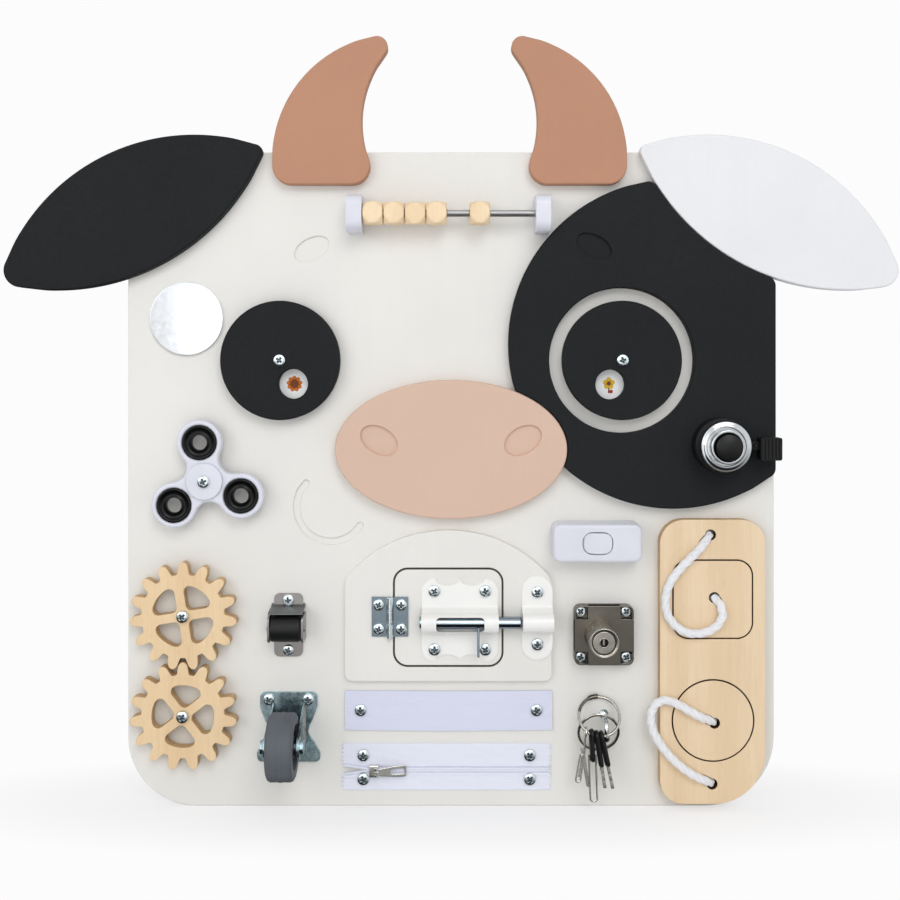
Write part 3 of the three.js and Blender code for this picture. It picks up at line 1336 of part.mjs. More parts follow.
// The upper ring stands in the hook's bowl and leans back on the board.
const bowlHeight = HOOK_REACH + HOOK_BOWL;
const bowlZ = -HOOK_DROP - HOOK_BOWL + HOOK.wire + RING.wire + SEAT_GAP;
const upperLean = Math.asin((bowlHeight - UPPER_RING.standOff) / (2 * UPPER_RING.radius));
const footZ = bowlZ - inset(UPPER_RING.radius, RING.offset) * Math.cos(upperLean);
const footHeight = bowlHeight + inset(UPPER_RING.radius, RING.offset) * Math.sin(upperLean);
const upperRing = station(RING.offset, 0, hook);
upperRing.position.y = -(footHeight - UPPER_RING.radius * Math.sin(upperLean));
upperRing.position.z = footZ + UPPER_RING.radius * Math.cos(upperLean);
upperRing.rotation.x = -upperLean;
addPiece(upperRing, 'ring_upper', splitRing(UPPER_RING.radius), NICKEL);

// The lower ring hangs on the hook's shank, its foot leaning back towards the board.
const lowerRing = station(RING.offset, 0, hook);
const lowerReach = LOWER_RING.radius - inset(LOWER_RING.radius, RING.offset);
const shankTopZ = LOWER_RING.over - HOOK_BOWL * LOWER_RING.height / HOOK_REACH;
lowerRing.position.y = -(LOWER_RING.height - lowerReach * Math.sin(LOWER_RING.lean));
lowerRing.position.z = shankTopZ - lowerReach * Math.cos(LOWER_RING.lean);
lowerRing.rotation.x = LOWER_RING.lean;
addPiece(lowerRing, 'ring_lower', splitRing(LOWER_RING.radius), NICKEL);

// A key hangs edge-on: x is its thickness, and its head lies in the plane of height and z, its hole at the
// origin.
function keySolid(broad) {
  const { thick, headWidth, headHeight, headCorner, hole, holeDrop } = KEY;
  const { bladeLength, bladeWidth, bladeThick, notch } = KEY;
  const headMiddle = holeDrop - headHeight / 2;
  const head = cutBy(
    beam(rectangle(headMiddle, 0, headHeight, headWidth, headCorner), -thick / 2, thick / 2),
    rod(hole, -thick, thick, 'x', 0, 0, 0),
  );
  const bladeTop = holeDrop - headHeight + headCorner;
  const bladeEnd = holeDrop - headHeight - bladeLength;
  const middle = (bladeTop + bladeEnd) / 2;
  const long = bladeTop - bladeEnd;
  const corner = bladeWidth * 0.3;
  if (broad) {
    const blade = slab(rectangle(0, middle, bladeWidth, long, corner), -bladeThick / 2, bladeThick / 2);
    return joined(head, blade);
  }
  const blade = beam(rectangle(middle, 0, long, bladeWidth, corner), -bladeThick / 2, bladeThick / 2);
  const notches = [1, 2, 3].map((i) => beam(
    rectangle(bladeEnd + bladeLength * i / 5, bladeWidth / 2, notch, 2 * notch, 0),
    -bladeThick,
    bladeThick,
  ));
  return joined(head, cutBy(blade, ...notches));
}

// Each key hangs on the upper ring's wire, where the wire passes its place.
KEYS.forEach(({ place, tilt, broad }, i) => {
  const up = inset(UPPER_RING.radius, place);
  const group = station(RING.offset + place, 0, hook);
  group.position.y = -(footHeight - up * Math.sin(upperLean));
  group.position.z = footZ + up * Math.cos(upperLean) - (KEY.hole - RING.wire - KEY.slack);
  group.rotation.y = -radians(tilt);
  addPiece(group, `key_${i + 1}`, keySolid(broad), NICKEL);
});

// Puzzle panel, its two pieces and their ropes

const puzzle = sideStation(RIGHT, PANEL);

function ropeCurve(route) {
  const points = route.map(([x, z, height]) => new THREE.Vector3(x, -(SLAB_T + height), z));
  return new THREE.CatmullRomCurve3(points, false, 'centripetal');
}

function ropeSolid(route, radius) {
  return wire(ropeCurve(route), radius, ROPE_STEPS, ROPE_SIDES);
}

const ropeRadius = ROPE.diameter / 2;
const ropeRoom = [UPPER_ROPE, LOWER_ROPE].map((route) => ropeSolid(route, ropeRadius + ROPE.gap));

function ropeHole([x, z]) {
  return rod(ROPE.holeRadius, -CUT, SLAB_T + CUT, 'out', x, 0, z);
}

const { corner: panelCorner, bigCorner } = PANEL;
const panelCorners = [panelCorner, bigCorner, panelCorner, panelCorner];
const squareRoom = rectangle(
  SQUARE.x, SQUARE.z, SQUARE.width + 2 * INLAY_GAP, SQUARE.height + 2 * INLAY_GAP,
  SQUARE.corner + INLAY_GAP,
);
addPiece(puzzle, 'puzzle_panel', cutBy(
  slab(rectangle(0, 0, PANEL.width, PANEL.height, panelCorners), 0, SLAB_T),
  slab(squareRoom, -CUT, SLAB_T + CUT),
  slab(circle(ROUND.x, ROUND.z, ROUND.radius + INLAY_GAP), -CUT, SLAB_T + CUT),
  ropeHole(UPPER_ROPE[0]),
  ropeHole(LOWER_ROPE.at(-1)),
  ...ropeRoom,
), BIRCH);
addPiece(puzzle, 'square_piece', cutBy(
  slab(rectangle(SQUARE.x, SQUARE.z, SQUARE.width, SQUARE.height, SQUARE.corner), 0, SLAB_T),
  ropeHole(UPPER_ROPE.at(-1)),
  ropeRoom[0],
), BIRCH);
addPiece(puzzle, 'round_piece', cutBy(
  slab(circle(ROUND.x, ROUND.z, ROUND.radius), 0, SLAB_T),
  ropeHole(LOWER_ROPE[0]),
  ropeRoom[1],
), BIRCH);
addPiece(puzzle, 'rope_upper', ropeSolid(UPPER_ROPE, ropeRadius), WHITE_ROPE);
addPiece(puzzle, 'rope_lower', ropeSolid(LOWER_ROPE, ropeRadius), WHITE_ROPE);

// Board, last, because the toys' screws decide its holes

function boardShape() {
  const { width, height, topRadius, bottomRadius } = BOARD;
  return rectangle(0, height / 2, width, height, [bottomRadius, bottomRadius, topRadius, topRadius]);
}

// The groove is a bent band with round ends.
function smileShape() {
  const { x, z, radius, width, from, to } = SMILE;
  const centre = at(x, z);
  const half = width / 2;
  const start = at(x + radius * Math.cos(from), z + radius * Math.sin(from));
  const end = at(x + radius * Math.cos(to), z + radius * Math.sin(to));
  return new Outline()
    .arc(centre, radius + half, from, to)
    .arc(end, half, to, to + HALF_TURN)
    .arc(centre, radius - half, to, from)
    .arc(start, half, from + HALF_TURN, from + FULL_TURN)
    .shape();
}

addPiece(face, 'board_panel', cutBy(
  slab(boardShape(), -BOARD.thickness, 0),
  slab(smileShape(), -SMILE.depth, CUT),
  browCut(LEFT, BROW_LEFT, 0),
  ...boardCuts,
), CREAM);

export default model;
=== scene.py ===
import math
import random
from contextlib import contextmanager
from itertools import product

import bmesh
import bpy
from mathutils import Matrix, Vector
from mathutils.geometry import tessellate_polygon


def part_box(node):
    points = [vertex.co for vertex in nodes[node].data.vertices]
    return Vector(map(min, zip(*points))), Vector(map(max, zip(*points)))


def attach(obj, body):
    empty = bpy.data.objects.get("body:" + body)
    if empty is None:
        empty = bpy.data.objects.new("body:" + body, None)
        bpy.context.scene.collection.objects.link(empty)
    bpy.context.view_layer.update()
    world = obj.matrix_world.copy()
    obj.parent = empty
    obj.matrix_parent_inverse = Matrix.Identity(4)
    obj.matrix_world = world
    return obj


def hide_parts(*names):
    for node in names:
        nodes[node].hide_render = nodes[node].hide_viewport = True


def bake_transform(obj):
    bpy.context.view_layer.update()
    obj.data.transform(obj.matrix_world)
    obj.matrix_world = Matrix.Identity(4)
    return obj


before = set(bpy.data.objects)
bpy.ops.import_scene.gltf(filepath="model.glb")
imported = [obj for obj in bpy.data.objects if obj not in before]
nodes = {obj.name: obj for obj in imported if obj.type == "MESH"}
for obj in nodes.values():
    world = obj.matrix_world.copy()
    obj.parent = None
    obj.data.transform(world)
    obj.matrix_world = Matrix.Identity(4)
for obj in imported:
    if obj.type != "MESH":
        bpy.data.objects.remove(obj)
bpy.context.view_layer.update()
scene = bpy.context.scene
MM = 0.001
BOARD = 10


def at(x, height, z):
    """A point in metres from x and z in millimetres and a height over the board's face."""
    return Vector((x, -(BOARD + height), z)) * MM


def place_of(point):
    """The x, height and z in millimetres of a point in metres."""
    return point.x / MM, -point.y / MM - BOARD, point.z / MM


def linked_object(name, data):
    """A new object that is in the scene."""
    made = bpy.data.objects.new(name, data)
    scene.collection.objects.link(made)
    return made


# Camera: level, in front of the board, with the frame moved down.

LENS = 44.615
FRAME_SHIFT = -85 / 900
VIEWPOINT = Vector((-0.65, -735, 74.15)) * MM
camera = bpy.data.cameras.new("camera")
camera.sensor_width = 36
camera.lens = LENS
camera.shift_y = FRAME_SHIFT
camera.clip_end = 20
scene.camera = linked_object("camera", camera)
scene.camera.location = VIEWPOINT
scene.camera.rotation_euler = (math.radians(90), 0, 0)


# Materials


def tone(red, green, blue):
    parts = [c / 255 for c in (red, green, blue)]
    return (*[c / 12.92 if c < 0.04045 else ((c + 0.055) / 1.055) ** 2.4 for c in parts], 1)


def shade(colour, share):
    return (*[min(1, c * share) for c in colour[:3]], 1)


def added(tree, kind, inputs=None, **settings):
    """A new shader node with these settings and input values."""
    made = tree.nodes.new("ShaderNode" + kind)
    for key, value in settings.items():
        setattr(made, key, value)
    for key, value in (inputs or {}).items():
        made.inputs[key].default_value = value
    return made


def ranged(tree, low, high, out_low=0.0, out_high=1.0):
    """A new node that maps one range of values to another."""
    return added(tree, "MapRange", {"From Min": low, "From Max": high, "To Min": out_low, "To Max": out_high})


def linked(tree, *pairs):
    for source, socket in pairs:
        tree.links.new(source, socket)


class Shader:
    """A Principled material whose colour, roughness and bump come from noise in the piece's own frame."""

    def __init__(self, name, colour, roughness, metallic=0, specular=0.5):
        self.material = bpy.data.materials.new(name)
        self.material.use_nodes = True
        self.material.diffuse_color = colour
        self.tree = self.material.node_tree
        self.main = self.tree.nodes["Principled BSDF"]
        self.main.inputs["Base Color"].default_value = colour
        self.main.inputs["Roughness"].default_value = roughness
        self.main.inputs["Metallic"].default_value = metallic
        self.main.inputs["Specular IOR Level"].default_value = specular
        self.object = self.node("TexCoord").outputs["Object"]
        self.height = None

    def node(self, kind, inputs=None, **settings):
        return added(self.tree, kind, inputs, **settings)

    def put(self, source, socket):
        if isinstance(source, bpy.types.NodeSocket):
            self.tree.links.new(source, socket)
        else:
            socket.default_value = source

    def stretched(self, made, stretch, source):
        """What a texture node gives on coordinates scaled by stretch."""
        mapping = self.node("Mapping", {"Scale": stretch})
        self.put(source or self.object, mapping.inputs["Vector"])
        self.put(mapping.outputs["Vector"], made.inputs["Vector"])
        return made.outputs["Fac"]

    def noise(self, scale, detail=3, rough=0.5, stretch=(1, 1, 1), source=None):
        made = self.node("TexNoise", {"Scale": scale, "Detail": detail, "Roughness": rough})
        return self.stretched(made, stretch, source)

    def wave(self, scale, distortion=0, stretch=(1, 1, 1), direction="X", source=None):
        settings = {"Scale": scale, "Distortion": distortion, "Detail": 2}
        return self.stretched(self.node("TexWave", settings, bands_direction=direction), stretch, source)

    def ramp(self, source, low, high, out_low=0.0, out_high=1.0):
        made = ranged(self.tree, low, high, out_low, out_high)
        self.put(source, made.inputs["Value"])
        return made.outputs["Result"]

    def mix(self, factor, a, b):
        made = self.node("Mix", data_type="RGBA")
        for source, number in ((factor, 0), (a, 6), (b, 7)):
            self.put(source, made.inputs[number])
        return made.outputs[2]

    def colour(self, source):
        self.put(source, self.main.inputs["Base Color"])
        return self

    def roughness(self, source, low, high):
        self.put(self.ramp(source, 0.3, 0.7, low, high), self.main.inputs["Roughness"])
        return self

    def bump(self, source, distance):
        made = self.node("Bump", {"Distance": distance, "Strength": 1})
        self.put(source, made.inputs["Height"])
        if self.height is not None:
            self.put(self.height, made.inputs["Normal"])
        self.height = made.outputs["Normal"]
        self.put(self.height, self.main.inputs["Normal"])
        return self


def paint(name, colour, roughness=0.5, specular=0.35, spread=0.03, grain=0.00003):
    """Matt paint on plywood: faint mottling, a little orange peel, and the grain showing through."""
    s = Shader(name, colour, roughness, specular=specular)
    broad = s.noise(14, 2)
    fine = s.noise(700, 4, 0.65)
    fibre = s.noise(160, 4, 0.6, (1, 1, 0.05))
    base = s.mix(s.ramp(broad, 0.35, 0.65), shade(colour, 1 - spread), shade(colour, 1 + spread * 0.4))
    base = s.mix(s.ramp(fine, 0.3, 0.75, 0, 0.35), base, shade(colour, 1 - spread * 1.6))
    base = s.mix(s.ramp(fibre, 0.45, 0.75, 0, 0.4), base, shade(colour, 1 - spread * 1.3))
    s.colour(base).roughness(fine, roughness - 0.07, roughness + 0.1)
    return s.bump(fine, 0.00004).bump(fibre, grain).material


def wood(name, colour, dark, grain=(1, 1, 0.06), seed=0.0):
    """Birch veneer: long soft grain, cathedral bands, short pores and a satin finish."""
    s = Shader(name, colour, 0.55, specular=0.3)
    place = s.node("VectorMath", {1: (seed, seed * 0.7, seed * 1.3)}, operation="ADD")
    s.put(s.object, place.inputs[0])
    source = place.outputs[0]
    bands = s.wave(9, 7, grain, "X", source)
    fibre = s.noise(420, 5, 0.65, grain, source)
    pores = s.noise(1500, 3, 0.6, (1, 1, grain[2] * 0.9) if grain[2] < 1 else grain, source)
    clouds = s.noise(28, 3, 0.5, (1, 1, 0.35), source)
    base = s.mix(s.ramp(bands, 0.2, 0.95, 0, 0.4), colour, dark)
    base = s.mix(s.ramp(fibre, 0.4, 0.72, 0, 0.45), base, dark)
    base = s.mix(s.ramp(clouds, 0.35, 0.7, 0, 0.35), base, shade(colour, 1.06))
    base = s.mix(s.ramp(pores, 0.62, 0.72, 0, 0.4), base, shade(dark, 0.72))
    s.colour(base).roughness(fibre, 0.45, 0.62)
    return s.bump(fibre, 0.00005).bump(pores, 0.00003).material


def plywood_edge(name, colour, dark):
    """Cut edge of plywood: plies across the thickness, a little scorched."""
    s = Shader(name, colour, 0.7, specular=0.2)
    plies = s.wave(250, 0.3, (0.02, 1, 0.02), "Y")
    fibre = s.noise(900, 4, 0.6, (1, 0.4, 1))
    scorch = s.noise(90, 3, 0.6)
    base = s.mix(s.ramp(plies, 0.35, 0.65, 0, 0.75), colour, dark)
    base = s.mix(s.ramp(fibre, 0.45, 0.7, 0, 0.4), base, shade(dark, 0.7))
    base = s.mix(s.ramp(scorch, 0.45, 0.75, 0, 0.4), base, shade(dark, 0.55))
    return s.colour(base).bump(fibre, 0.00006).material


def metal(name, colour, roughness, scratch=0.05, spread=0.12, brushed=(1, 1, 1)):
    """Plated metal: cloudy tint, fine rubbing marks and an uneven gloss."""
    s = Shader(name, colour, roughness, 1)
    cloud = s.noise(260, 3, 0.6)
    rub = s.noise(2600, 4, 0.7, brushed)
    base = s.mix(s.ramp(cloud, 0.35, 0.65), shade(colour, 1 - spread), shade(colour, 1 + spread * 0.5))
    if min(brushed) < 1:
        base = s.mix(s.ramp(rub, 0.35, 0.7, 0, 0.45), base, shade(colour, 0.72))
    s.colour(base).roughness(cloud, max(0.02, roughness - scratch), roughness + scratch)
    return s.bump(rub, 0.000006).material


def plastic(name, colour, roughness, specular=0.5, pits=0.00002, spread=0.03):
    """Moulded plastic: even colour, a fine moulded skin and slight flow marks."""
    s = Shader(name, colour, roughness, specular=specular)
    skin = s.noise(1800, 3, 0.6)
    flow = s.noise(45, 2, 0.5)
    base = s.mix(s.ramp(flow, 0.35, 0.65), shade(colour, 1 - spread), shade(colour, 1 + spread))
    s.colour(base).roughness(flow, roughness - 0.05, roughness + 0.07)
    return s.bump(skin, pits).material


def cloth(name, colour, rib, weave, roughness=0.85):
    """Woven band: ribs along one way, threads across them, a soft sheen at the edges."""
    s = Shader(name, colour, roughness, specular=0.15)
    ribs = s.wave(rib, 0.15, (1, 1, 1), "Z")
    threads = s.wave(weave, 0.4, (1, 1, 1), "X")
    fuzz = s.noise(3000, 3, 0.7)
    base = s.mix(s.ramp(ribs, 0.1, 0.9, 0, 0.4), shade(colour, 0.96), colour)
    base = s.mix(s.ramp(threads, 0.1, 0.9, 0, 0.25), base, shade(colour, 1.05))
    base = s.mix(s.ramp(fuzz, 0.45, 0.7, 0, 0.3), base, shade(colour, 0.9))
    s.main.inputs["Sheen Weight"].default_value = 0.15
    s.colour(base)
    return s.bump(ribs, 0.00005).bump(threads, 0.00002).bump(fuzz, 0.00003).material


CREAM = paint("cream_paint", tone(233, 231, 226), 0.5)
PALE = paint("pale_paint", tone(233, 233, 235), 0.5)
BLACK = paint("black_paint", tone(30, 32, 34), 0.66, 0.16, 0.09, 0.00005)
TAN = paint("tan_paint", tone(188, 139, 112), 0.58, 0.25, 0.04)
PINK = paint("pink_paint", tone(217, 186, 167), 0.58, 0.25, 0.03)
BIRCH = wood("birch", tone(235, 211, 178), tone(217, 187, 148))
BIRCH_WARM = wood("birch_warm", tone(235, 208, 168), tone(221, 187, 145), (1, 1, 0.08), 0.37)
PLY = plywood_edge("birch_edge", tone(222, 192, 150), tone(184, 148, 106))
# Scorched cut edge, darker than the puzzle board's outer edge: real scorch, with painted shade in the puzzle's gaps
# and in the beads' bores.
SCORCH_AND_SHADE = plywood_edge("scorched_edge_and_shade", tone(96, 72, 50), tone(58, 41, 28))
# Plywood edge made dark as painted shade, for the walls of the door's gap and the board under it.
GAP_EDGE_SHADE = plywood_edge("gap_edge_shade", tone(150, 139, 124), tone(108, 98, 86))
MIRROR = metal("mirror", tone(246, 248, 251), 0.1, 0.03, 0.01)
ZINC = metal("zinc", tone(224, 233, 236), 0.2)
# Darker metal for the screws' cross recesses: painted shade in the recess.
RECESS_SHADE = metal("screw_recess_shade", tone(86, 97, 106), 0.4)
SILVER = metal("bright_steel", tone(222, 220, 214), 0.2, 0.06, 0.06)
BOLT_STEEL = metal("bolt_steel", tone(146, 158, 168), 0.14, 0.03, 0.04, (0.05, 1, 1))
CHROME = metal("chrome", tone(204, 206, 208), 0.07, 0.03, 0.05)
GUN = metal("gunmetal", tone(114, 109, 101), 0.34, 0.05, 0.05)
DARK_STEEL = metal("dark_steel", tone(104, 102, 94), 0.3, 0.08)
WHITE_PLASTIC = plastic("white_plastic", tone(220, 221, 231), 0.32)
WHITE_METAL = plastic("white_metal", tone(242, 241, 238), 0.2, 0.5, 0.00001, 0.015)
BLACK_PLASTIC = plastic("black_plastic", tone(22, 22, 23), 0.4, 0.25, 0.00003, 0.1)
RUBBER = plastic("grey_rubber", tone(94, 99, 105), 0.6, 0.3, 0.00006, 0.08)
HUB_GREY = plastic("hub_grey", tone(66, 69, 74), 0.5, 0.35, 0.00004, 0.08)
STRAP = cloth("strap_fabric", tone(220, 223, 241), 260, 420)
TAPE = cloth("tape_fabric", tone(233, 235, 247), 330, 330)
CARD = plastic("card", tone(251, 251, 250), 0.5, 0.3, 0.00001, 0.01)
ORANGE, BROWN, YELLOW, RED, BLUE, LEAF = (
    plastic(f"{name}_ink", tone(*colour), 0.55, 0.2, 0.00001, spread) for name, colour, spread in (
        ("orange", (214, 120, 48), 0.08), ("brown", (120, 66, 36), 0.08), ("yellow", (232, 190, 60), 0.06),
        ("red", (180, 60, 48), 0.06), ("blue", (84, 128, 168), 0.06), ("green", (96, 140, 74), 0.06),
    )
)
GLOSS_BLACK = plastic("gloss_black", tone(13, 13, 14), 0.25, 0.22, 0.00001, 0.1)
GREY_STEEL = metal("grey_steel", tone(158, 154, 152), 0.34, 0.06, 0.05, (1, 1, 0.05))
LEAF_STEEL = metal("leaf_steel", tone(128, 141, 150), 0.3, 0.06, 0.06, (0.04, 1, 1))
ROD_STEEL = metal("rod_steel", tone(166, 165, 166), 0.45, 0.06, 0.06)
BLUE_ZINC = metal("blue_zinc", tone(168, 189, 195), 0.26, 0.08, 0.16)
# Lighter copy of the gunmetal, for the lock's barrel, plug and lips; on the barrel, which is cast with the case, the
# lighter tone is painted light.
PALE_AND_LIT_GUN = metal("pale_and_lit_gunmetal", tone(180, 175, 166), 0.28, 0.05, 0.05)
BEAD = wood("bead_wood", tone(245, 221, 186), tone(232, 200, 158), (1, 1, 0.2), 0.81)
HOOD_STEEL = metal("hood_steel", tone(118, 120, 119), 0.4, 0.06, 0.06)
RING_STEEL = metal("ring_steel", tone(178, 174, 166), 0.2, 0.06, 0.06)


def rope_material():
    """Twisted cotton cord: fine yarn lines on each strand, fluff, and the grooves between the yarns darker as painted
    shade.
    """
    s = Shader("white_rope", tone(244, 244, 246), 0.9, specular=0.1)
    uv = s.node("TexCoord").outputs["UV"]
    yarn = s.wave(1, 0.6, (1, 1, 1), "DIAGONAL", uv)
    fluff = s.noise(2600, 4, 0.7)
    # The yarn lines' dark bands are painted shade in the grooves between the yarns.
    base = s.mix(s.ramp(yarn, 0.1, 0.6), tone(234, 234, 240), tone(252, 252, 253))
    base = s.mix(s.ramp(fluff, 0.45, 0.7, 0, 0.3), base, tone(240, 240, 246))
    s.main.inputs["Sheen Weight"].default_value = 0.2
    s.colour(base)
    return s.bump(yarn, 0.00012).bump(fluff, 0.00008).material


ROPE = rope_material()


# Mesh helpers


def piece(name, mesh, body, replaced=(), materials=(), angle=35, weighted=True):
    """Links a mesh as a piece: shaded smooth but for its sharp edges, on a body, in place of the CAD nodes it
    replaces.
    """
    made = linked_object(name, mesh)
    for material in materials:
        mesh.materials.append(material)
    mesh.polygons.foreach_set("use_smooth", [True] * len(mesh.polygons))
    mesh.set_sharp_from_angle(angle=math.radians(angle))
    if weighted:
        made.modifiers.new("normals", "WEIGHTED_NORMAL").keep_sharp = True
    if body:
        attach(made, body)
    if replaced:
        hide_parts(*replaced)
    return made


@contextmanager
def editing(mesh):
    """A bmesh of a mesh, written back to it at the end."""
    work = bmesh.new()
    work.from_mesh(mesh)
    yield work
    work.to_mesh(mesh)
    work.free()


def finished(name, work):
    """A new mesh from a bmesh."""
    mesh = bpy.data.meshes.new(name)
    work.to_mesh(mesh)
    work.free()
    return mesh


def outward(mesh):
    """The mesh with its faces turned outwards."""
    with editing(mesh) as work:
        bmesh.ops.recalc_face_normals(work, faces=work.faces)
    return mesh


def mesh_of(name, verts, faces, indices=None):
    mesh = bpy.data.meshes.new(name)
    mesh.from_pydata([tuple(v) for v in verts], [], faces)
    if indices:
        mesh.polygons.foreach_set("material_index", indices)
    return outward(mesh)


def area(loop):
    return sum(a[0] * b[1] - b[0] * a[1] for a, b in zip(loop, loop[1:] + loop[:1])) / 2


def outlines(node, height):
    """Outlines in millimetres, largest first, of a CAD node's flat faces at a height over the board."""
    work = bmesh.new()
    work.from_mesh(nodes[node].data)
    bmesh.ops.remove_doubles(work, verts=work.verts, dist=2e-6)
    y = at(0, height, 0).y
    flat = {f for f in work.faces if all(abs(v.co.y - y) < 5e-6 for v in f.verts)}
    near = {}
    for e in work.edges:
        if sum(f in flat for f in e.link_faces) == 1:
            a, b = e.verts
            near.setdefault(a, []).append(b)
            near.setdefault(b, []).append(a)
    found = []
    while near:
        start = next(iter(near))
        loop, here, last = [], start, None
        while here in near:
            ways = near.pop(here)
            loop.append((here.co.x / MM, here.co.z / MM))
            here, last = next((w for w in ways if w in near), start), here
        if len(loop) > 2:
            found.append(loop if area(loop) > 0 else loop[::-1])
    work.free()
    return sorted(found, key=area, reverse=True)


def smoothed(loop, cuts=4, corner=30):
    """Puts points on the curve between those of a faceted outline, and leaves its corners and straight runs."""
    points = [Vector(p) for p in loop]
    count = len(points)
    ways = [points[(i + 1) % count] - points[i] for i in range(count)]
    sizes = [w.length for w in ways]
    straight = [sizes[i] > 2.4 * min(sizes[i - 1], sizes[(i + 1) % count]) for i in range(count)]
    soft = [abs(ways[i - 1].angle_signed(ways[i], 0)) < math.radians(corner) for i in range(count)]
    made = []
    for i in range(count):
        j = (i + 1) % count
        made.append(tuple(points[i]))
        if straight[i] or not (soft[i] or soft[j]):
            continue
        here = ways[i].normalized()
        before = ways[i - 1].normalized() if soft[i] else here
        after = ways[j].normalized() if soft[j] else here
        start = before if straight[i - 1] and soft[i] else (before + here).normalized()
        end = after if straight[j] and soft[j] else (here + after).normalized()
        for k in range(1, cuts):
            t = k / cuts
            made.append(tuple(
                (2 * t**3 - 3 * t**2 + 1) * points[i] + (t**3 - 2 * t**2 + t) * start * sizes[i]
                + (3 * t**2 - 2 * t**3) * points[j] + (t**3 - t**2) * end * sizes[i]
            ))
    return made


def inset(loop, distance):
    """The outline moved to its left, which is inwards where it runs anticlockwise."""
    if not distance:
        return list(loop)
    made = []
    count = len(loop)
    for i, p in enumerate(loop):
        a = (Vector(p) - Vector(loop[i - 1])).normalized()
        b = (Vector(loop[(i + 1) % count]) - Vector(p)).normalized()
        way = Vector((-(a.y + b.y), a.x + b.x))
        size = way.length
        way = way / size if size > 1e-6 else Vector((-a.y, a.x))
        lift = min(1.6, 1 / max(0.3, way.dot(Vector((-a.y, a.x)))))
        made.append((p[0] + way.x * distance * lift, p[1] + way.y * distance * lift))
    return made


def around(count):
    """The cosine and sine of each of a count of even steps round a turn."""
    return [(math.cos(2 * math.pi * i / count), math.sin(2 * math.pi * i / count)) for i in range(count)]


def circle(x, z, radius, count=72):
    return [(x + radius * c, z + radius * s) for c, s in around(count)]


def box_loop(x, z, width, height, corner=0, steps=6):
    if not corner:
        return [(x + sx * width / 2, z + sz * height / 2) for sx, sz in ((1, -1), (1, 1), (-1, 1), (-1, -1))]
    made = []
    for quarter, (sx, sz) in enumerate(((1, 1), (-1, 1), (-1, -1), (1, -1))):
        for k in range(steps + 1):
            angle = math.pi / 2 * (quarter + k / steps)
            made.append((
                x + sx * (width / 2 - corner) + corner * math.cos(angle),
                z + sz * (height / 2 - corner) + corner * math.sin(angle),
            ))
    return made


def slab_mesh(name, loops, low, high, edge=0.8, pockets=(), steps=4, back=0.3):
    """A flat plate with rounded edges. The first loop is the outline and the rest are holes; a pocket is an
    outline and its depth. The outer walls are marked 1 and those of holes 2."""
    verts, faces, marks = [], [], []

    def ring(loop, height):
        verts.extend(at(x, height, z) for x, z in loop)
        return list(range(len(verts) - len(loop), len(verts)))

    def wall(rings, mark):
        for a, b in zip(rings, rings[1:]):
            for i in range(len(a)):
                j = (i + 1) % len(a)
                faces.append((a[i], a[j], b[j], b[i]))
                marks.append(mark)

    def cap(rings):
        flat = [[Vector((verts[i].x, verts[i].z, 0)) for i in r] for r in rings]
        order = [i for r in rings for i in r]
        for tri in tessellate_polygon(flat):
            faces.append(tuple(order[i] for i in tri))
            marks.append(0)

    def rounded(loop, top, size):
        made = []
        for k in range(steps + 1):
            angle = math.pi / 2 * k / steps
            offset, height = size * (1 - math.cos(angle)), top - size + size * math.sin(angle)
            made.append(ring(inset(loop, offset), height))
        return made

    tops, bottoms = [], []
    for number, loop in enumerate(loops):
        run = list(loop) if number == 0 else list(loop)[::-1]
        foot = [ring(inset(run, back), low), ring(run, low + back)]
        lip = rounded(run, high, edge)
        wall([*foot, lip[0]], 2 if number else 1)
        wall(lip, 0)
        tops.append(lip[-1])
        bottoms.append(foot[0])
    for loop, depth in pockets:
        run = list(loop)[::-1]
        lip = rounded(run, high, min(edge, 0.35))
        floor = ring(run, high - depth)
        wall([floor, *lip], 0)
        cap([floor])
        tops.append(lip[-1])
    cap(tops)
    cap(bottoms)
    return mesh_of(name, verts, faces, marks)


def lofted(rings, sides, closed=False):
    """Quads from each ring of points to the next."""
    faces = []
    for i in range(rings if closed else rings - 1):
        here, there = i * sides, (i + 1) % rings * sides
        for k in range(sides):
            j = (k + 1) % sides
            faces.append((here + k, here + j, there + j, there + k))
    return faces


def turned_mesh(name, rows, spot, axis="out", steps=64):
    """A closed turned solid. Rows are (radius, place along the axis), and spot is (x, height, z)."""
    verts = []
    for radius, along in rows:
        for c, s in around(steps):
            c, s = radius * c, radius * s
            way = {"out": (c, along, s), "x": (along, c, s), "z": (c, s, along)}[axis]
            verts.append(at(*[a + b for a, b in zip(spot, way)]))
    mesh = mesh_of(name, verts, lofted(len(rows), steps, True))
    with editing(mesh) as work:
        bmesh.ops.remove_doubles(work, verts=work.verts, dist=1e-7)
        bmesh.ops.dissolve_degenerate(work, edges=work.edges, dist=1e-8)
        bmesh.ops.recalc_face_normals(work, faces=work.faces)
    return mesh


def turned(name, rows, spot, body, material, replaced=(), axis="out", steps=64, angle=35):
    """A turned piece of one material."""
    return piece(name, turned_mesh(name, rows, spot, axis, steps), body, replaced, (material,), angle)


def arc(x, y, radius, start, end, steps=5):
    """Rows on a circle, for a turned profile, with angles in degrees from the radius."""
    made = []
    for k in range(steps + 1):
        angle = math.radians(start + (end - start) * k / steps)
        made.append((x + radius * math.cos(angle), y + radius * math.sin(angle)))
    return made


def frames_along(path):
    ways = []
    for i in range(len(path)):
        ways.append((path[min(i + 1, len(path) - 1)] - path[max(i - 1, 0)]).normalized())
    side = ways[0].orthogonal().normalized()
    made = []
    for way in ways:
        side = (side - way * side.dot(way)).normalized()
        made.append((side.copy(), way.cross(side)))
    return made


YARN = 0.0012


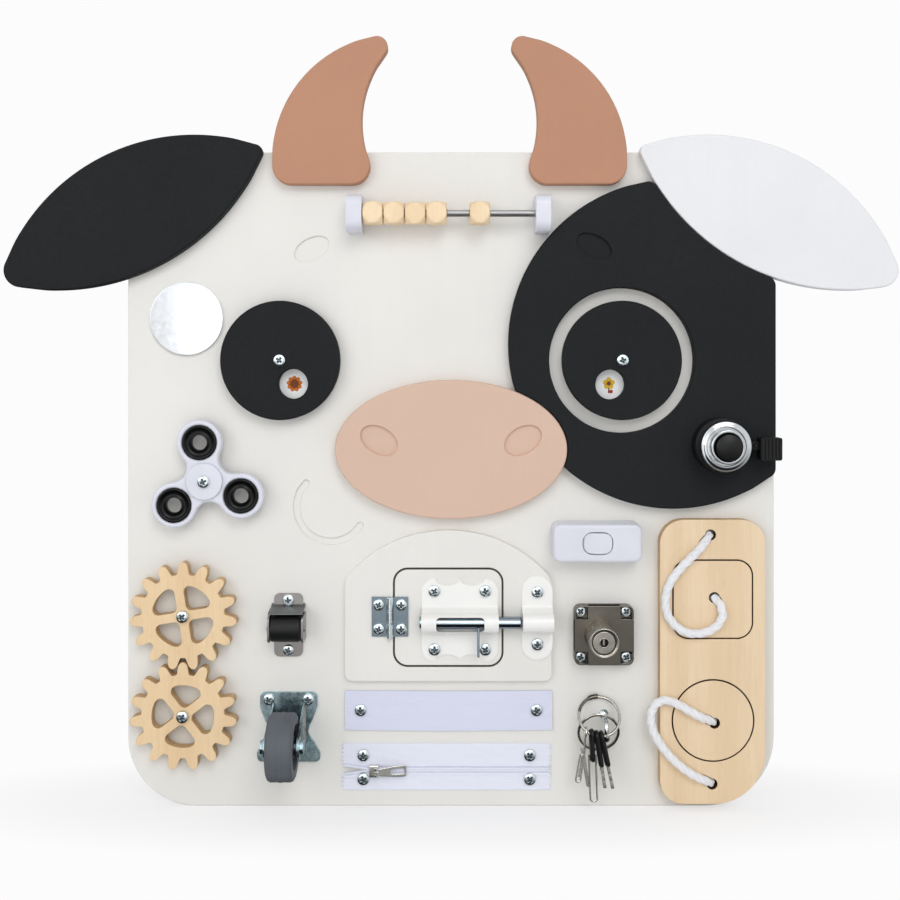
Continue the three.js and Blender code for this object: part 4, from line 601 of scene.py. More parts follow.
def tube_mesh(name, path, radius, sides=16, shape=None):
    """A tube round a path in metres; shape(angle, run) scales its radius, and it carries a UV map."""
    verts, runs, run = [], [], 0.0
    for i, (point, (u, v)) in enumerate(zip(path, frames_along(path))):
        if i:
            run += (point - path[i - 1]).length
        runs.append(run)
        for k, (c, s) in enumerate(around(sides)):
            size = radius * (shape(2 * math.pi * k / sides, run) if shape else 1)
            verts.append(point + u * size * c + v * size * s)
    last = (len(path) - 1) * sides
    mesh = bpy.data.meshes.new(name)
    faces = [*lofted(len(path), sides), tuple(range(sides)), tuple(range(last, last + sides))]
    mesh.from_pydata([tuple(v) for v in verts], [], faces)
    layer = mesh.uv_layers.new(name="along")
    for poly in mesh.polygons:
        for index, corner in zip(poly.vertices, poly.loop_indices):
            row, k = divmod(index, sides)
            k = sides if k == 0 and max(v % sides for v in poly.vertices) > sides / 2 + 1 else k
            layer.data[corner].uv = (runs[row] / YARN, k / sides * 12)
    return outward(mesh)


def merged(name, *meshes):
    """One mesh from several, whose material indices stay as they are."""
    work = bmesh.new()
    for mesh in meshes:
        work.from_mesh(mesh)
    return finished(name, work)


def marked(mesh, index):
    mesh.polygons.foreach_set("material_index", [index] * len(mesh.polygons))
    return mesh


def extruded(name, first, last):
    """A solid between two outlines with as many points."""
    count = len(first)
    faces = [(i, (i + 1) % count, count + (i + 1) % count, count + i) for i in range(count)]
    return mesh_of(name, [*first, *last], [*faces, tuple(range(count)), tuple(range(count, 2 * count))])


def prism(name, loop, low, high):
    return extruded(name, *[[at(x, height, z) for x, z in loop] for height in (low, high)])


def beam(name, profile, x0, x1):
    """A solid along x with this profile of (z, height)."""
    return extruded(name, *[[at(x, height, z) for z, height in profile] for x in (x0, x1)])


def carved(name, mesh, *cutters):
    """The mesh once each cutter, a mesh and INTERSECT or DIFFERENCE, has been put to it."""
    made = linked_object(name, mesh)
    helpers = [made]
    for cutter, kind in cutters:
        helpers.append(linked_object("cutter", cutter))
        step = made.modifiers.new("cut", "BOOLEAN")
        step.operation = kind
        step.object = helpers[-1]
        step.solver = "EXACT"
    result = bpy.data.meshes.new_from_object(made.evaluated_get(bpy.context.evaluated_depsgraph_get()))
    result.name = name
    for helper in helpers:
        bpy.data.objects.remove(helper)
    return result


def bevelled(made, width, angle=30, segments=3):
    """The piece with its sharp edges rounded, where there is a width, and its normals weighed by face."""
    if width:
        rounder = made.modifiers.new("edges", "BEVEL")
        rounder.width = width * MM
        rounder.segments = segments
        rounder.limit_method = "ANGLE"
        rounder.angle_limit = math.radians(angle)
    made.modifiers.new("normals", "WEIGHTED_NORMAL").keep_sharp = True
    return made


HEAD_REACH = 4.4


def softened(name, node, body, material, bevel, heads=(), top=0, keep=None):
    """Stands for a CAD node with the same form and rounded edges; heads are screws that come off it here."""
    work = bmesh.new()
    work.from_mesh(nodes[node].data)
    bmesh.ops.remove_doubles(work, verts=work.verts, dist=5e-6)
    gone = []
    for v in work.verts:
        x, height, z = place_of(v.co)
        on_head = any(math.hypot(x - hx, z - hz) < HEAD_REACH for hx, hz in heads)
        if on_head and height > top + 0.05 or keep and not keep(x, height, z):
            gone.append(v)
    bmesh.ops.delete(work, geom=gone, context="VERTS")
    bmesh.ops.dissolve_limit(work, angle_limit=math.radians(0.6), verts=work.verts, edges=work.edges)
    made = piece(name, finished(name, work), body, (node,), (material,), 50, False)
    return bevelled(made, bevel)


chance = random.Random(11)


# The cross recess of a screw, as shares of its head's radius: half an arm's length and width, and the middle.
ARM, SLOT, WELL = 0.5, 0.14, 0.22


def head_mesh(name, radius, rise, spin, spot):
    """A pan head with a cross recess: a dome on rings, pressed in along two arms round a point. The recess
    is marked 1, for the darker metal that paints the shade in it."""
    rings, steps = 18, 56
    x0, h0, z0 = spot
    c, s = math.cos(spin), math.sin(spin)
    verts = [at(x0, h0 + 0.85 * rise, z0)]
    deep = [False]
    ways = around(steps)
    for r in range(1, rings + 1):
        share = r / rings
        for x, z in [(share * a, share * b) for a, b in ways]:
            dome = rise * (0.5 + 0.5 * math.sqrt(max(0, 1 - share**3.4))) if share < 1 else rise * 0.36
            across, along = abs(x), abs(z)
            arms = min(max(across / ARM, along / SLOT), max(along / ARM, across / SLOT))
            reach = min(arms, math.hypot(x, z) / WELL)
            sink = 0.5 * rise * min(1, max(0, (1.12 - reach) / 0.24)) * min(1, max(0.3, share / 0.17))
            deep.append(sink > 0.2 * rise and share > 0.12)
            verts.append(at(x0 + radius * (x * c - z * s), h0 + dome - sink, z0 + radius * (x * s + z * c)))
    for size in (radius, 0.4 * radius):
        verts += [at(x0 + size * (x * c - z * s), h0 + 0.06, z0 + size * (x * s + z * c)) for x, z in ways]
    faces = [(0, 1 + k, 1 + (k + 1) % steps) for k in range(steps)]
    for r in range(rings + 1):
        for k in range(steps):
            a, b, j = 1 + r * steps, 1 + (r + 1) * steps, (k + 1) % steps
            faces.append((a + k, b + k, b + j, a + j))
    faces.append(tuple(1 + (rings + 1) * steps + k for k in range(steps)))
    deep += [False] * (len(verts) - len(deep))
    marks = [int(sum(deep[i] for i in face) > len(face) / 2) for face in faces]
    return mesh_of(name, verts, faces, marks)


def screws(name, body, places, top, radius=3.75, rise=2.2):
    parts = [head_mesh(name, radius, rise, chance.uniform(0, 1.57), (x, top, z)) for x, z in places]
    return piece(name, merged(name, *parts), body, (), (ZINC, RECESS_SHADE), 40, False)


def centripetal(points, steps=8):
    """Points on the centripetal Catmull-Rom curve through these."""
    points = [Vector(p) for p in points]
    ends = [2 * points[0] - points[1], *points, 2 * points[-1] - points[-2]]
    made = []
    for p0, p1, p2, p3 in zip(ends, ends[1:], ends[2:], ends[3:]):
        t = [0]
        for a, b in ((p0, p1), (p1, p2), (p2, p3)):
            t.append(t[-1] + max(1e-9, (b - a).length ** 0.5))
        for k in range(steps):
            u = t[1] + (t[2] - t[1]) * k / steps
            row = [(a * (t[i + 1] - u) + b * (u - t[i])) / (t[i + 1] - t[i])
                   for i, (a, b) in enumerate(((p0, p1), (p1, p2), (p2, p3)))]
            row = [(row[i] * (t[i + 2] - u) + row[i + 1] * (u - t[i])) / (t[i + 2] - t[i]) for i in range(2)]
            made.append((row[0] * (t[2] - u) + row[1] * (u - t[1])) / (t[2] - t[1]))
    made.append(points[-1])
    return made


# Ropes: three strands each, from the panel's hole to the puzzle piece's.

PANEL_X, PANEL_Z, PANEL_TOP = 168.3, -116.8, 8
ROPE_SIZE, LAY = 5.6, 3.4
UPPER_ROPE = [
    (-1.4, 81.6, -3.6), (-4.6, 78, 0.4), (-9.6, 72.8, 3.3), (-16, 66.4, 3.6), (-22.6, 59.4, 3.3),
    (-28.2, 51.4, 3.2), (-30.9, 41.8, 3.2), (-30, 32.2, 3.2), (-24.9, 24.4, 3.2), (-16.8, 19.6, 3.2),
    (-7.6, 19.4, 3.2), (0.6, 23, 3.3), (5.2, 30, 3.5), (4.4, 37, 2), (1, 41.4, -2.6),
]
LOWER_ROPE = [
    (1.2, -39.4, -3.6), (-3.4, -37, 0.4), (-9.6, -33.8, 3.3), (-16, -30.2, 3.6), (-23.2, -26.2, 3.4),
    (-30.4, -23.7, 3.2), (-37, -26, 3), (-40.3, -32.6, 3), (-39.4, -41.6, 3), (-34.8, -51, 3.1),
    (-28.2, -59.4, 3.2), (-20.4, -66.6, 3.4), (-12.2, -72, 3.5), (-5, -76, 0.9), (-0.4, -78.6, -3.4),
]


def strands(angle, run):
    """Outline of three strands laid together, turning once in LAY diameters."""
    twist = angle - 2 * math.pi * run / (LAY * ROPE_SIZE * MM)
    near = (twist + math.pi / 3) % (2 * math.pi / 3) - math.pi / 3
    off, size = 0.29, 0.72
    return off * math.cos(near) + math.sqrt(size**2 - (off * math.sin(near)) ** 2)


def rope(name, node, points):
    path = centripetal([at(PANEL_X + x, PANEL_TOP + h, PANEL_Z + z) for x, z, h in points], 16)
    tube = tube_mesh(name, path, ROPE_SIZE / 2 * MM, 36, strands)
    made = piece(name, tube, None, (node,), (ROPE,), 60, False)
    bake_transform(made)


rope("upper_cord", "rope_upper", UPPER_ROPE)
rope("lower_cord", "rope_lower", LOWER_ROPE)


# Painted plates

ENGRAVING = 1.5
engraved = [(smoothed(loop), ENGRAVING) for loop in outlines("board_panel", -ENGRAVING)]
panel = slab_mesh("board", [smoothed(outlines("board_panel", 0)[0])], -BOARD, 0, 1.1, engraved, back=0.8)
piece("board", panel, "board", ("board_panel",), (CREAM, CREAM))


def middle(loop):
    return Vector((sum(p[0] for p in loop), sum(p[1] for p in loop))) / len(loop)


def plate(name, node, top, low, body, material, side=None, edge=0.9, inner=None, floor=None, smallest=60):
    """A plate from a CAD node's outline. Holes under the smallest area are a screw's, so they are left shut."""
    outline, *holes = outlines(node, top)
    pockets = [(smoothed(loop), top - floor) for loop in outlines(node, floor)] if floor is not None else []
    loops = [smoothed(outline)]
    for loop in holes:
        taken = any((middle(loop) - middle(pocket)).length < 3 for pocket, _ in pockets)
        if not taken and area(loop) > smallest:
            loops.append(smoothed(loop))
    side = side or material
    mesh = slab_mesh(name, loops, low, top, edge, pockets)
    piece(name, mesh, body, (node,), (material, side, inner or side))


plate("left_ear", "ear_left", 8, 0, "board", BLACK, edge=1.1)
plate("right_ear", "ear_right", 8, 0, "board", PALE, edge=1.1)
plate("left_horn", "horn_left", 8, 0, "board", TAN, edge=1.1)
plate("right_horn", "horn_right", 8, 0, "board", TAN, edge=1.1)
plate("patch", "eye_patch", 8, 0, "board", BLACK, edge=0.9, floor=6.5)
plate("nose", "nose_plate", 9, 0, "board", PINK, edge=1.3, floor=7)
plate("left_eye_cover", "left_eye_disc", 9.2, 1.2, "left_eye", BLACK, edge=0.9)
plate("right_eye_cover", "right_eye_disc", 9.2, 1.2, "right_eye", BLACK, edge=0.9)
# The walls of the door's gap take the dark edge, which paints the shade in the gap.
plate("door_surround", "door_frame", 4, 0, "board", CREAM, CREAM, 0.5, GAP_EDGE_SHADE)
plate("door_leaf", "door_panel", 4, 0.3, "door", CREAM, GAP_EDGE_SHADE, 0.4)
plate("looking_glass", "mirror_disc", 2, 0, "board", MIRROR, edge=0.3)
plate("upper_wheel", "gear_upper", 10, 2, "upper_gear", BIRCH_WARM, PLY, 0.45)
plate("lower_wheel", "gear_lower", 10, 2, "lower_gear", BIRCH_WARM, PLY, 0.45)
# The walls of the puzzle's cut-outs and the pieces' edges take the scorched edge, darker than the outer edge: scorch
# and painted shade in the gaps.
plate("puzzle_board", "puzzle_panel", 8, 0, "board", BIRCH, PLY, 0.5, SCORCH_AND_SHADE, smallest=30)
plate("square_inlay", "square_piece", 8, 0.3, "square", BIRCH, SCORCH_AND_SHADE, 0.3, smallest=30)
plate("round_inlay", "round_piece", 8, 0.3, "round", BIRCH, SCORCH_AND_SHADE, 0.3, smallest=30)

# Rail and beads

RAIL_HEIGHT, RAIL_Z = 12, 171
softened("left_bracket", "bead_bracket_left", "board", WHITE_PLASTIC, 1.3)
softened("right_bracket", "bead_bracket_right", "board", WHITE_PLASTIC, 1.3)
low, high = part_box("bead_rod")
half = (high.x - low.x) / 2 / MM
rod_rows = [(0, -half), (1.7, -half), (2.2, -half + 0.5), (2.2, half - 0.5), (1.7, half), (0, half)]
rod_place = ((high.x + low.x) / 2 / MM, RAIL_HEIGHT, RAIL_Z)
turned("rail", rod_rows, rod_place, "board", ROD_STEEL, ("bead_rod",), "x", 40)


def bead(number, x, body):
    """A wooden cube with its corners cut off and a dark rim at each end of its bore, which paints the shade in the
    bore's mouth.
    """
    work = bmesh.new()
    bmesh.ops.create_cube(work, size=1, matrix=Matrix.Diagonal((13 * MM, 14 * MM, 14 * MM, 1)))
    for corner in product((-1, 1), repeat=3):
        way = Vector(corner).normalized()
        cut = bmesh.ops.bisect_plane(
            work, geom=[*work.verts, *work.edges, *work.faces], plane_co=way * 8.9 * MM, plane_no=way,
            clear_outer=True,
        )
        bmesh.ops.holes_fill(work, edges=[e for e in cut["geom_cut"] if isinstance(e, bmesh.types.BMEdge)])
    turn = Matrix.Rotation(chance.uniform(-0.12, 0.12), 4, "X")
    bmesh.ops.transform(work, matrix=Matrix.Translation(at(x, RAIL_HEIGHT, RAIL_Z)) @ turn, verts=work.verts)
    bmesh.ops.recalc_face_normals(work, faces=work.faces)
    name = f"wooden_bead_{number}"
    made = piece(name, finished(name, work), body, (f"bead_{number}",), (BEAD,), 60, False)
    bevelled(made, 1.2, 20, 4)
    # A dark ring at each face round the rod: painted shade in the mouth of the bore.
    for side, end in ((-1, "left"), (1, "right")):
        spot = (x + side * 6.35, RAIL_HEIGHT, RAIL_Z)
        turned(f"bead_{number}_{end}_rim", arc(2.75, 0, 0.35, -90, 270, 8), spot, body, SCORCH_AND_SHADE, (), "x", 24)


for number, (rank, x) in enumerate((
    ("first", -49.95), ("second", -36.35), ("third", -22.75), ("fourth", -9.15), ("fifth", 18.4),
), 1):
    bead(number, x, f"{rank}_bead")


# Eyes: a printed card under each disc, seen through its peep hole.

EYES = {"left": (-110, 77.1), "right": (110, 77.1)}
CARD_TOP = 0.86


def petals(x, z, ring, size, count, turn=0.0, stretch=1.0):
    """Outlines of petals round a point."""
    made = []
    for k in range(count):
        angle = turn + 2 * math.pi * k / count
        c, s = math.cos(angle), math.sin(angle)
        made.append([
            (x + (ring + px * stretch) * c - pz * s, z + (ring + px * stretch) * s + pz * c)
            for px, pz in circle(0, 0, size, 18)
        ])
    return made


def dot(x, z, radius):
    return [circle(x, z, radius, 28)]


def picture(kind, x, z):
    """The inks of a picture, and its shapes as outlines, a material index, a lift and a thickness."""
    if kind == 0:
        return (ORANGE, BROWN), [(petals(x, z, 3.3, 1.5, 9, 0.2, 1.25), 0), (dot(x, z, 2.6), 1, 0.12)]
    if kind == 1:
        return (YELLOW, BROWN, RED), [
            (petals(x, z + 0.6, 2.3, 1.7, 5, 0.3), 0), (dot(x, z + 0.6, 1.3), 1, 0.12),
            ([box_loop(x, z - 4, 0.9, 3.6, 0.4)], 1, 0, 0.1), (dot(x + 1.5, z - 4.6, 1.2), 2),
        ]
    if kind == 2:
        return (LEAF, BROWN), [(petals(x, z, 2.4, 2.1, 3, 0.5), 0), (dot(x, z, 0.8), 1, 0.12)]
    if kind == 3:
        return (RED, CARD), [(dot(x, z, 4.2), 0), (petals(x, z, 2.2, 0.7, 4), 1, 0.12)]
    return (BLUE, YELLOW), [(petals(x, z, 2.7, 1.6, 6, 0.1), 0), (dot(x, z, 1.6), 1, 0.12)]


def ink(name, loops, index, lift=0.0, thick=0.12):
    """Thin prints of these outlines on a card."""
    low = CARD_TOP + lift
    return [marked(slab_mesh(name, [loop], low, low + thick, 0.05, steps=1, back=0), index) for loop in loops]


def card(side, start, first, kinds=5):
    x, z = EYES[side]
    mesh = slab_mesh("card", [circle(x, z, 30)], 0.05, 0.85, 0.1, back=0)
    piece(f"{side}_card", mesh, "board", (), (CARD,))
    for k in range(kinds):
        angle = math.radians(start) + 2 * math.pi * k / kinds
        inks, shapes = picture((k + first) % kinds, x + 17.3 * math.cos(angle), z + 17.3 * math.sin(angle))
        name = f"{side}_picture_{k + 1}"
        parts = [part for shape in shapes for part in ink(name, *shape)]
        piece(name, merged(name, *parts), "board", (), inks)


card("left", -61, 0)
card("right", -116, 1)


def pivot(name, node, x, z, collar):
    """A pivot screw: its head, its shank down to the board, and its spacer."""
    low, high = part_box(node)
    top = -low.y / MM - BOARD
    rise = 2.4
    shank = [(0, -4), (1.6, -4), (1.6, top - rise + 0.1), (0, top - rise + 0.1)]
    spacer = [(1.7, 0), (4.2, 0), (4.2, collar), (1.7, collar)]
    mesh = merged(
        name, head_mesh(name, 4, rise, chance.uniform(0, 1.57), (x, top - rise, z)),
        turned_mesh(name, shank, (x, 0, z), steps=24), turned_mesh(name, spacer, (x, 0, z), steps=40),
    )
    piece(name, mesh, "board", (node,), (ZINC, RECESS_SHADE), 40, False)


pivot("left_eye_pin", "left_eye_screw", *EYES["left"], 0.9)
pivot("right_eye_pin", "right_eye_screw", *EYES["right"], 0.9)
pivot("upper_wheel_pin", "gear_upper_screw", -172, -87.1, 1.7)
pivot("lower_wheel_pin", "gear_lower_screw", -172, -151.3, 1.7)


# Spinner

SPIN_X, SPIN_Z = -157.7, -0.3
lobe_ways = [math.radians(98 + 120 * k) for k in range(3)]
lobes = [(SPIN_X + 25 * math.cos(way), SPIN_Z + 25 * math.sin(way)) for way in lobe_ways]
body_loops = [smoothed(outlines("spinner_body", 12)[0], 4, 40), *[circle(x, z, 11.1, 60) for x, z in lobes]]
piece(
    "spinner_arms", slab_mesh("spinner_arms", body_loops, 5, 12, 1.6, steps=5, back=1.2),
    "spinner", ("spinner_body",), (WHITE_PLASTIC,) * 3,
)
ring_rows = [
    (11.05, 7.6), (11.05, 11.7), (10.8, 12.3), (10.2, 12.5), (9.4, 12.35), (8.9, 11.6), (8.5, 10.9), (7.2, 10.5),
    (6.2, 10.8), (5.6, 11.5), (5.1, 11.5), (4.8, 11.1), (4.8, 7.9), (5.1, 7.6),
]
for k, (x, z) in enumerate(lobes, 1):
    turned(f"spinner_weight_{k}", ring_rows, (x, 0, z), "spinner", GLOSS_BLACK, steps=72, angle=50)
hub_top = -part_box("spinner_hub")[0].y / MM - BOARD
cap_rows = [(0, 12.3), (11.4, 12.3), (11.8, 12.6), *arc(11.1, 13.4, 0.7, 0, 90, 4), (0, 14.1)]
head = head_mesh("head", 4, hub_top - 14.1, 0.4, (SPIN_X, 14.1, SPIN_Z))
for poly in head.polygons:
    poly.material_index += 1
cap = merged(
    "spinner_cap", turned_mesh("cap", cap_rows, (SPIN_X, 0, SPIN_Z), steps=80),
    turned_mesh("post", [(0, -3), (3.6, -3), (3.6, 12.4), (0, 12.4)], (SPIN_X, 0, SPIN_Z), steps=40), head,
)
piece("spinner_cap", cap, "board", ("spinner_hub",), (WHITE_PLASTIC, ZINC, RECESS_SHADE), 40, False)


# Small roller and caster

ROLLER_X, ROLLER_Z = -105.5, -94.5
roller_heads = [(ROLLER_X, ROLLER_Z + s * 16.2) for s in (-1, 1)]
softened("roller_frame", "roller_bracket", "board", GREY_STEEL, 0.3, roller_heads, 1.2)
hood = [(14.2, 0.6), (13.2, 1.3), (12.6, 2.6), (12.3, 5), (12, 9), (11.7, 12.6), (11.2, 15), (10.6, 16), (10, 16.4)]
hood += [(9.5, 15.9), (10.1, 15.2), (10.5, 14), (10.8, 12.4), (11, 8.8), (11.2, 4.8), (11.4, 2.4), (12, 0.6)]
hood = beam("roller_hood", [(z + ROLLER_Z, h) for z, h in hood], ROLLER_X - 11, ROLLER_X + 11)
bevelled(piece("roller_hood", hood, "board", (), (HOOD_STEEL,), 40, False), 0.25, 40)
screws("roller_screws", "board", roller_heads, 1.2)
drum_rows = [
    (3, -9.6), (7.3, -9.6), (8.1, -8.9), (8.3, -7.5), (8.3, 7.5), (8.1, 8.9), (7.3, 9.6), (3, 9.6), (2.2, 9.6),
    (2.2, -9.6),
]
turned(
    "roller_wheel", drum_rows, (ROLLER_X, 11.5, ROLLER_Z), "roller", BLACK_PLASTIC, ("roller_drum",),
    "x", 72, 40,
)
CASTER_X, CASTER_Z = -105.2, -160.5
caster_heads = [(CASTER_X + s * 12.8, CASTER_Z + 18) for s in (-1, 1)]
softened("caster_frame", "caster_bracket", "board", BLUE_ZINC, 0.5, caster_heads, 2)
screws("caster_screws", "board", caster_heads, 2)
tyre_rows = [
    (14.2, -8.3), (18.6, -8.4), (20, -7.7), (20.8, -6), *arc(17, 0, 4, -25, 25, 6), (20.8, 6), (20, 7.7), (18.6, 8.4),
    (14.2, 8.3), (13.8, 7.6), (13.8, -7.6),
]
hub_rows = [
    (3.5, -7.6), (6.4, -7.6), (6.9, -7), (7.2, -5.6), (12.4, -5.2), (13, -6.2), (13.9, -6.6), (13.9, 6.6), (13, 6.2),
    (12.4, 5.2), (7.2, 5.6), (6.9, 7), (6.4, 7.6), (3.5, 7.6),
]
axle = (CASTER_X, 30, CASTER_Z - 3.4)
hub = marked(turned_mesh("hub", hub_rows, axle, "x", 72), 1)
wheel = merged("caster_tyre", turned_mesh("tyre", tyre_rows, axle, "x", 96), hub)
piece("caster_tyre", wheel, "caster", ("caster_wheel",), (RUBBER, HUB_GREY), 40)


# Door: painted shade in the gap, hinge, bolt and keeper

DOOR_X, DOOR_Z = -1.8, -89
HINGE_X = -39.4
# A dark ring on the board under the gap round the door: painted shade at the bottom of the gap.
gap_shade_ring = [box_loop(DOOR_X, DOOR_Z, 72.6, 65.4, 9.8, 8), box_loop(DOOR_X, DOOR_Z, 67, 59.8, 7.6, 8)]
gap_shade_ring = slab_mesh("door_gap_shade", gap_shade_ring, 0.02, 0.22, 0.05, steps=1, back=0)
piece("door_gap_shade", gap_shade_ring, "board", (), (GAP_EDGE_SHADE,) * 3)
left_heads, right_heads = ([(HINGE_X + side, DOOR_Z + 0.6 + s * 7.8) for s in (-1, 1)] for side in (-7.3, 7.3))
softened("hinge_fixed", "hinge_leaf_frame", "board", LEAF_STEEL, 0.12, left_heads, 5)
softened("hinge_moving", "hinge_leaf_door", "door", LEAF_STEEL, 0.12, right_heads, 5)
low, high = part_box("hinge_leaf_frame")
pin_height = -low.y / MM - BOARD - 1.9
inner = [v.co.z / MM for v in nodes["hinge_leaf_door"].data.vertices if v.co.x / MM < HINGE_X - 0.6]
splits = [low.z / MM, min(inner), max(inner), high.z / MM]
for k, body in enumerate(("board", "door", "board")):
    first, last = splits[k] + 0.15, splits[k + 1] - 0.15
    rows = [(0, first), (1.9, first), (2.25, first + 0.35), (2.25, last - 0.35), (1.9, last), (0, last)]
    turned(f"hinge_knuckle_{k + 1}", rows, (HINGE_X, pin_height, 0), body, ZINC, (), "z", 40, 40)
screws("hinge_fixed_screws", "board", left_heads, 5)
screws("hinge_moving_screws", "door", right_heads, 5)
BOLT_X, BOLT_Z = DOOR_X + 7.5, DOOR_Z - 1.5
plate_heads = [(BOLT_X + sx * 16.4, BOLT_Z + sz * 18.8) for sx, sz in product((-1, 1), repeat=2)]


def run_of(loop, keep):
    """The points of a loop that keep picks, in order, from where they begin."""
    count = len(loop)
    first = next(i for i in range(count) if keep(loop[i]) and not keep(loop[i - 1]))
    made = []
    while len(made) < count and keep(loop[(first + len(made)) % count]):
        made.append(loop[(first + len(made)) % count])
    return made


def barrel_plate(name, node, body, window=None):
    """Pressed sheet with a long hump over the rod: the hump's section along x, cut to the plate's outline."""
    low, high = sorted(outlines(node, 5.2)[:2], key=lambda p: p[0][1])
    high = run_of(high, lambda p: p[1] > BOLT_Z + 9)
    low = run_of(low, lambda p: p[1] < BOLT_Z - 9)
    loop = smoothed([*high, *low])
    crest = [math.radians(a) for a in range(-20, 201, 10)]
    outer = [(40, 1.2), (9.8, 1.2), (8.9, 1.35), (8, 2), (7.3, 3.1), (6.6, 4.7)]
    outer += [(5.9 * math.cos(a), 8.6 + 5.9 * math.sin(a)) for a in crest]
    outer += [(-z, h) for z, h in outer[5::-1]]
    inner = [(-40, 0), (-9, 0), (-7.9, 0.4), (-7, 1.3), (-6.2, 2.6), (-5.5, 4.4)]
    inner += [(-4.7 * math.cos(a), 8.6 + 4.7 * math.sin(a)) for a in crest]
    inner += [(-z, h) for z, h in inner[5::-1]]
    profile = [(BOLT_Z + z, 4 + h) for z, h in [*outer, *inner]]
    xs = [x for x, _ in loop]
    cutters = [(prism("outline", loop, 2, 30), "INTERSECT")]
    if window:
        cutters.append((prism("window", window, 10.5, 30), "DIFFERENCE"))
    mesh = carved(name, beam(name, profile, min(xs) - 5, max(xs) + 5), *cutters)
    bevelled(piece(name, mesh, body, (node,), (WHITE_METAL,), 40, False), 0.55, 35)


barrel_plate("bolt_plate", "latch_plate", "door", box_loop(5.9, BOLT_Z - 0.7, 30.6, 9.6, 2.4))
screws("bolt_plate_screws", "door", plate_heads, 5.2, 4)
softened("bolt_rod", "latch_rod", "bolt", BOLT_STEEL, 0.25)
barrel_plate("bolt_keeper", "latch_keeper", "board")
screws("bolt_keeper_screws", "board", [(DOOR_X + 57.45, DOOR_Z - 0.2 + s * 16.8) for s in (-1, 1)], 5.2, 4)


# Strap and zip


def band(name, x0, x1, low_z, high_z, top, thickness, ripple, columns=150, rows=10):
    """A flat woven band as a thin closed sheet; low_z, high_z and top are functions of x, in millimetres."""
    verts, faces = [], []
    for layer in (0, 1):
        for i in range(columns + 1):
            x = x0 + (x1 - x0) * i / columns
            for j in range(rows + 1):
                share = j / rows
                z = low_z(x) + (high_z(x) - low_z(x)) * share
                height = top(x, share) + ripple(x, z) if layer else top(x, share) - thickness
                rim = min(share, 1 - share) * rows
                verts.append(at(x, height - (0.25 if rim < 1 and layer else 0), z))

    def corner(i, j, layer):
        return (layer * (columns + 1) + i) * (rows + 1) + j

    def quad(*corners):
        faces.append(tuple(corner(*place) for place in corners))

    for i in range(columns):
        for j in range(rows):
            quad((i, j, 1), (i + 1, j, 1), (i + 1, j + 1, 1), (i, j + 1, 1))
            quad((i, j, 0), (i, j + 1, 0), (i + 1, j + 1, 0), (i + 1, j, 0))
        for j in (0, rows):
            quad((i, j, 0), (i + 1, j, 0), (i + 1, j, 1), (i, j, 1))
    for j in range(rows):
        for i in (0, columns):
            quad((i, j, 0), (i, j + 1, 0), (i, j + 1, 1), (i, j, 1))
    return mesh_of(name, verts, faces)


STRAP_X, STRAP_Z = -1.6, -150.1
strap_heads = [(STRAP_X + s * 57, STRAP_Z + 0.5) for s in (-1, 1)]


def pressed(x, z, places, reach=9, depth=0.5):
    """How far screws at these places press a band down at a point."""
    return max(depth * math.exp(-((math.hypot(x - px, z - pz) / reach) ** 2)) for px, pz in places)


strap = band(
    "strap", STRAP_X - 67.2, STRAP_X + 67.2, lambda x: STRAP_Z - 12.8 - 0.3 * math.cos((x - STRAP_X) / 25),
    lambda x: STRAP_Z + 12.8 - 0.25 * math.cos((x - STRAP_X) / 30),
    lambda x, share: 1.75 - pressed(x, STRAP_Z + (share - 0.5) * 25.6, strap_heads), 1.2,
    lambda x, z: 0.05 * math.sin(x * 0.21) * math.sin(z * 0.4),
)
strap = piece("elastic_strap", strap, "board", ("strap_band",), (STRAP,), 60, False)
screws("strap_screws", "board", strap_heads, 1.25, 4)

ZIP_X, ZIP_Z = -2.9, -186.7
CHAIN_Z = ZIP_Z - 1.7
zip_heads = [(ZIP_X + sx * 54, ZIP_Z + sz * 7.7) for sx, sz in product((-1, 1), repeat=2)]


def opening(x):
    """Half the space between the two rows of teeth: closed to the right of the slider."""
    share = min(1, max(0, (-52 - x) / 17))
    return 0.1 + 1.9 * share * share * (3 - 2 * share)


def zip_tape(side):
    """One half of the zip's tape, with pinked ends."""
    def inner(x):
        return CHAIN_Z + side * (opening(x) + 0.15)

    def outer(x):
        return ZIP_Z + side * 15.2 + 0.12 * math.sin(x * 0.35 + side)

    low_z, high_z = (outer, inner) if side < 0 else (inner, outer)

    def top(x, share):
        z = low_z(x) + (high_z(x) - low_z(x)) * share
        near = abs(z - inner(x))
        step = min(1, max(0, (near - 1.45) / 0.4))
        fold = 0.4 * math.exp(-(((near - 2.3) / 1.3) ** 2))
        return 0.95 - 0.6 * (1 - step) + fold * step - pressed(x, z, zip_heads, 6, 0.3) * step

    mesh = band(
        "zip", ZIP_X - 68.4, ZIP_X + 68.4, low_z, high_z, top, 0.85,
        lambda x, z: 0.04 * math.sin(x * 0.3 + z), 170, 36,
    )
    for v in mesh.vertices:
        x, z = v.co.x / MM - ZIP_X, v.co.z / MM
        if abs(x) > 64:
            tooth = abs(((z - ZIP_Z) / 2.7) % 1 - 0.5) * 2
            v.co.x = (ZIP_X + math.copysign(64 + (abs(x) - 64) * (2.3 + 2.2 * tooth) / 4.4, x)) * MM
    return mesh


def rolled_edge(side):
    """The rolled edge of one tape, which covers its teeth: where the zip is closed, the two meet."""
    def crown(x, share):
        near = share if side > 0 else 1 - share
        return 0.85 + 1.1 * max(0, 1 - abs(2 * near - 0.95) ** 4) ** 0.5

    def place(reach):
        return lambda x: CHAIN_Z + side * (opening(x) - 0.12 + reach)

    low_z, high_z = (place(0), place(1.42)) if side > 0 else (place(1.42), place(0))
    return band(
        "edge", ZIP_X - 66.6, ZIP_X + 66.6, low_z, high_z, crown, 0.5, lambda x, z: 0.02 * math.sin(x * 2.1), 200, 12,
    )


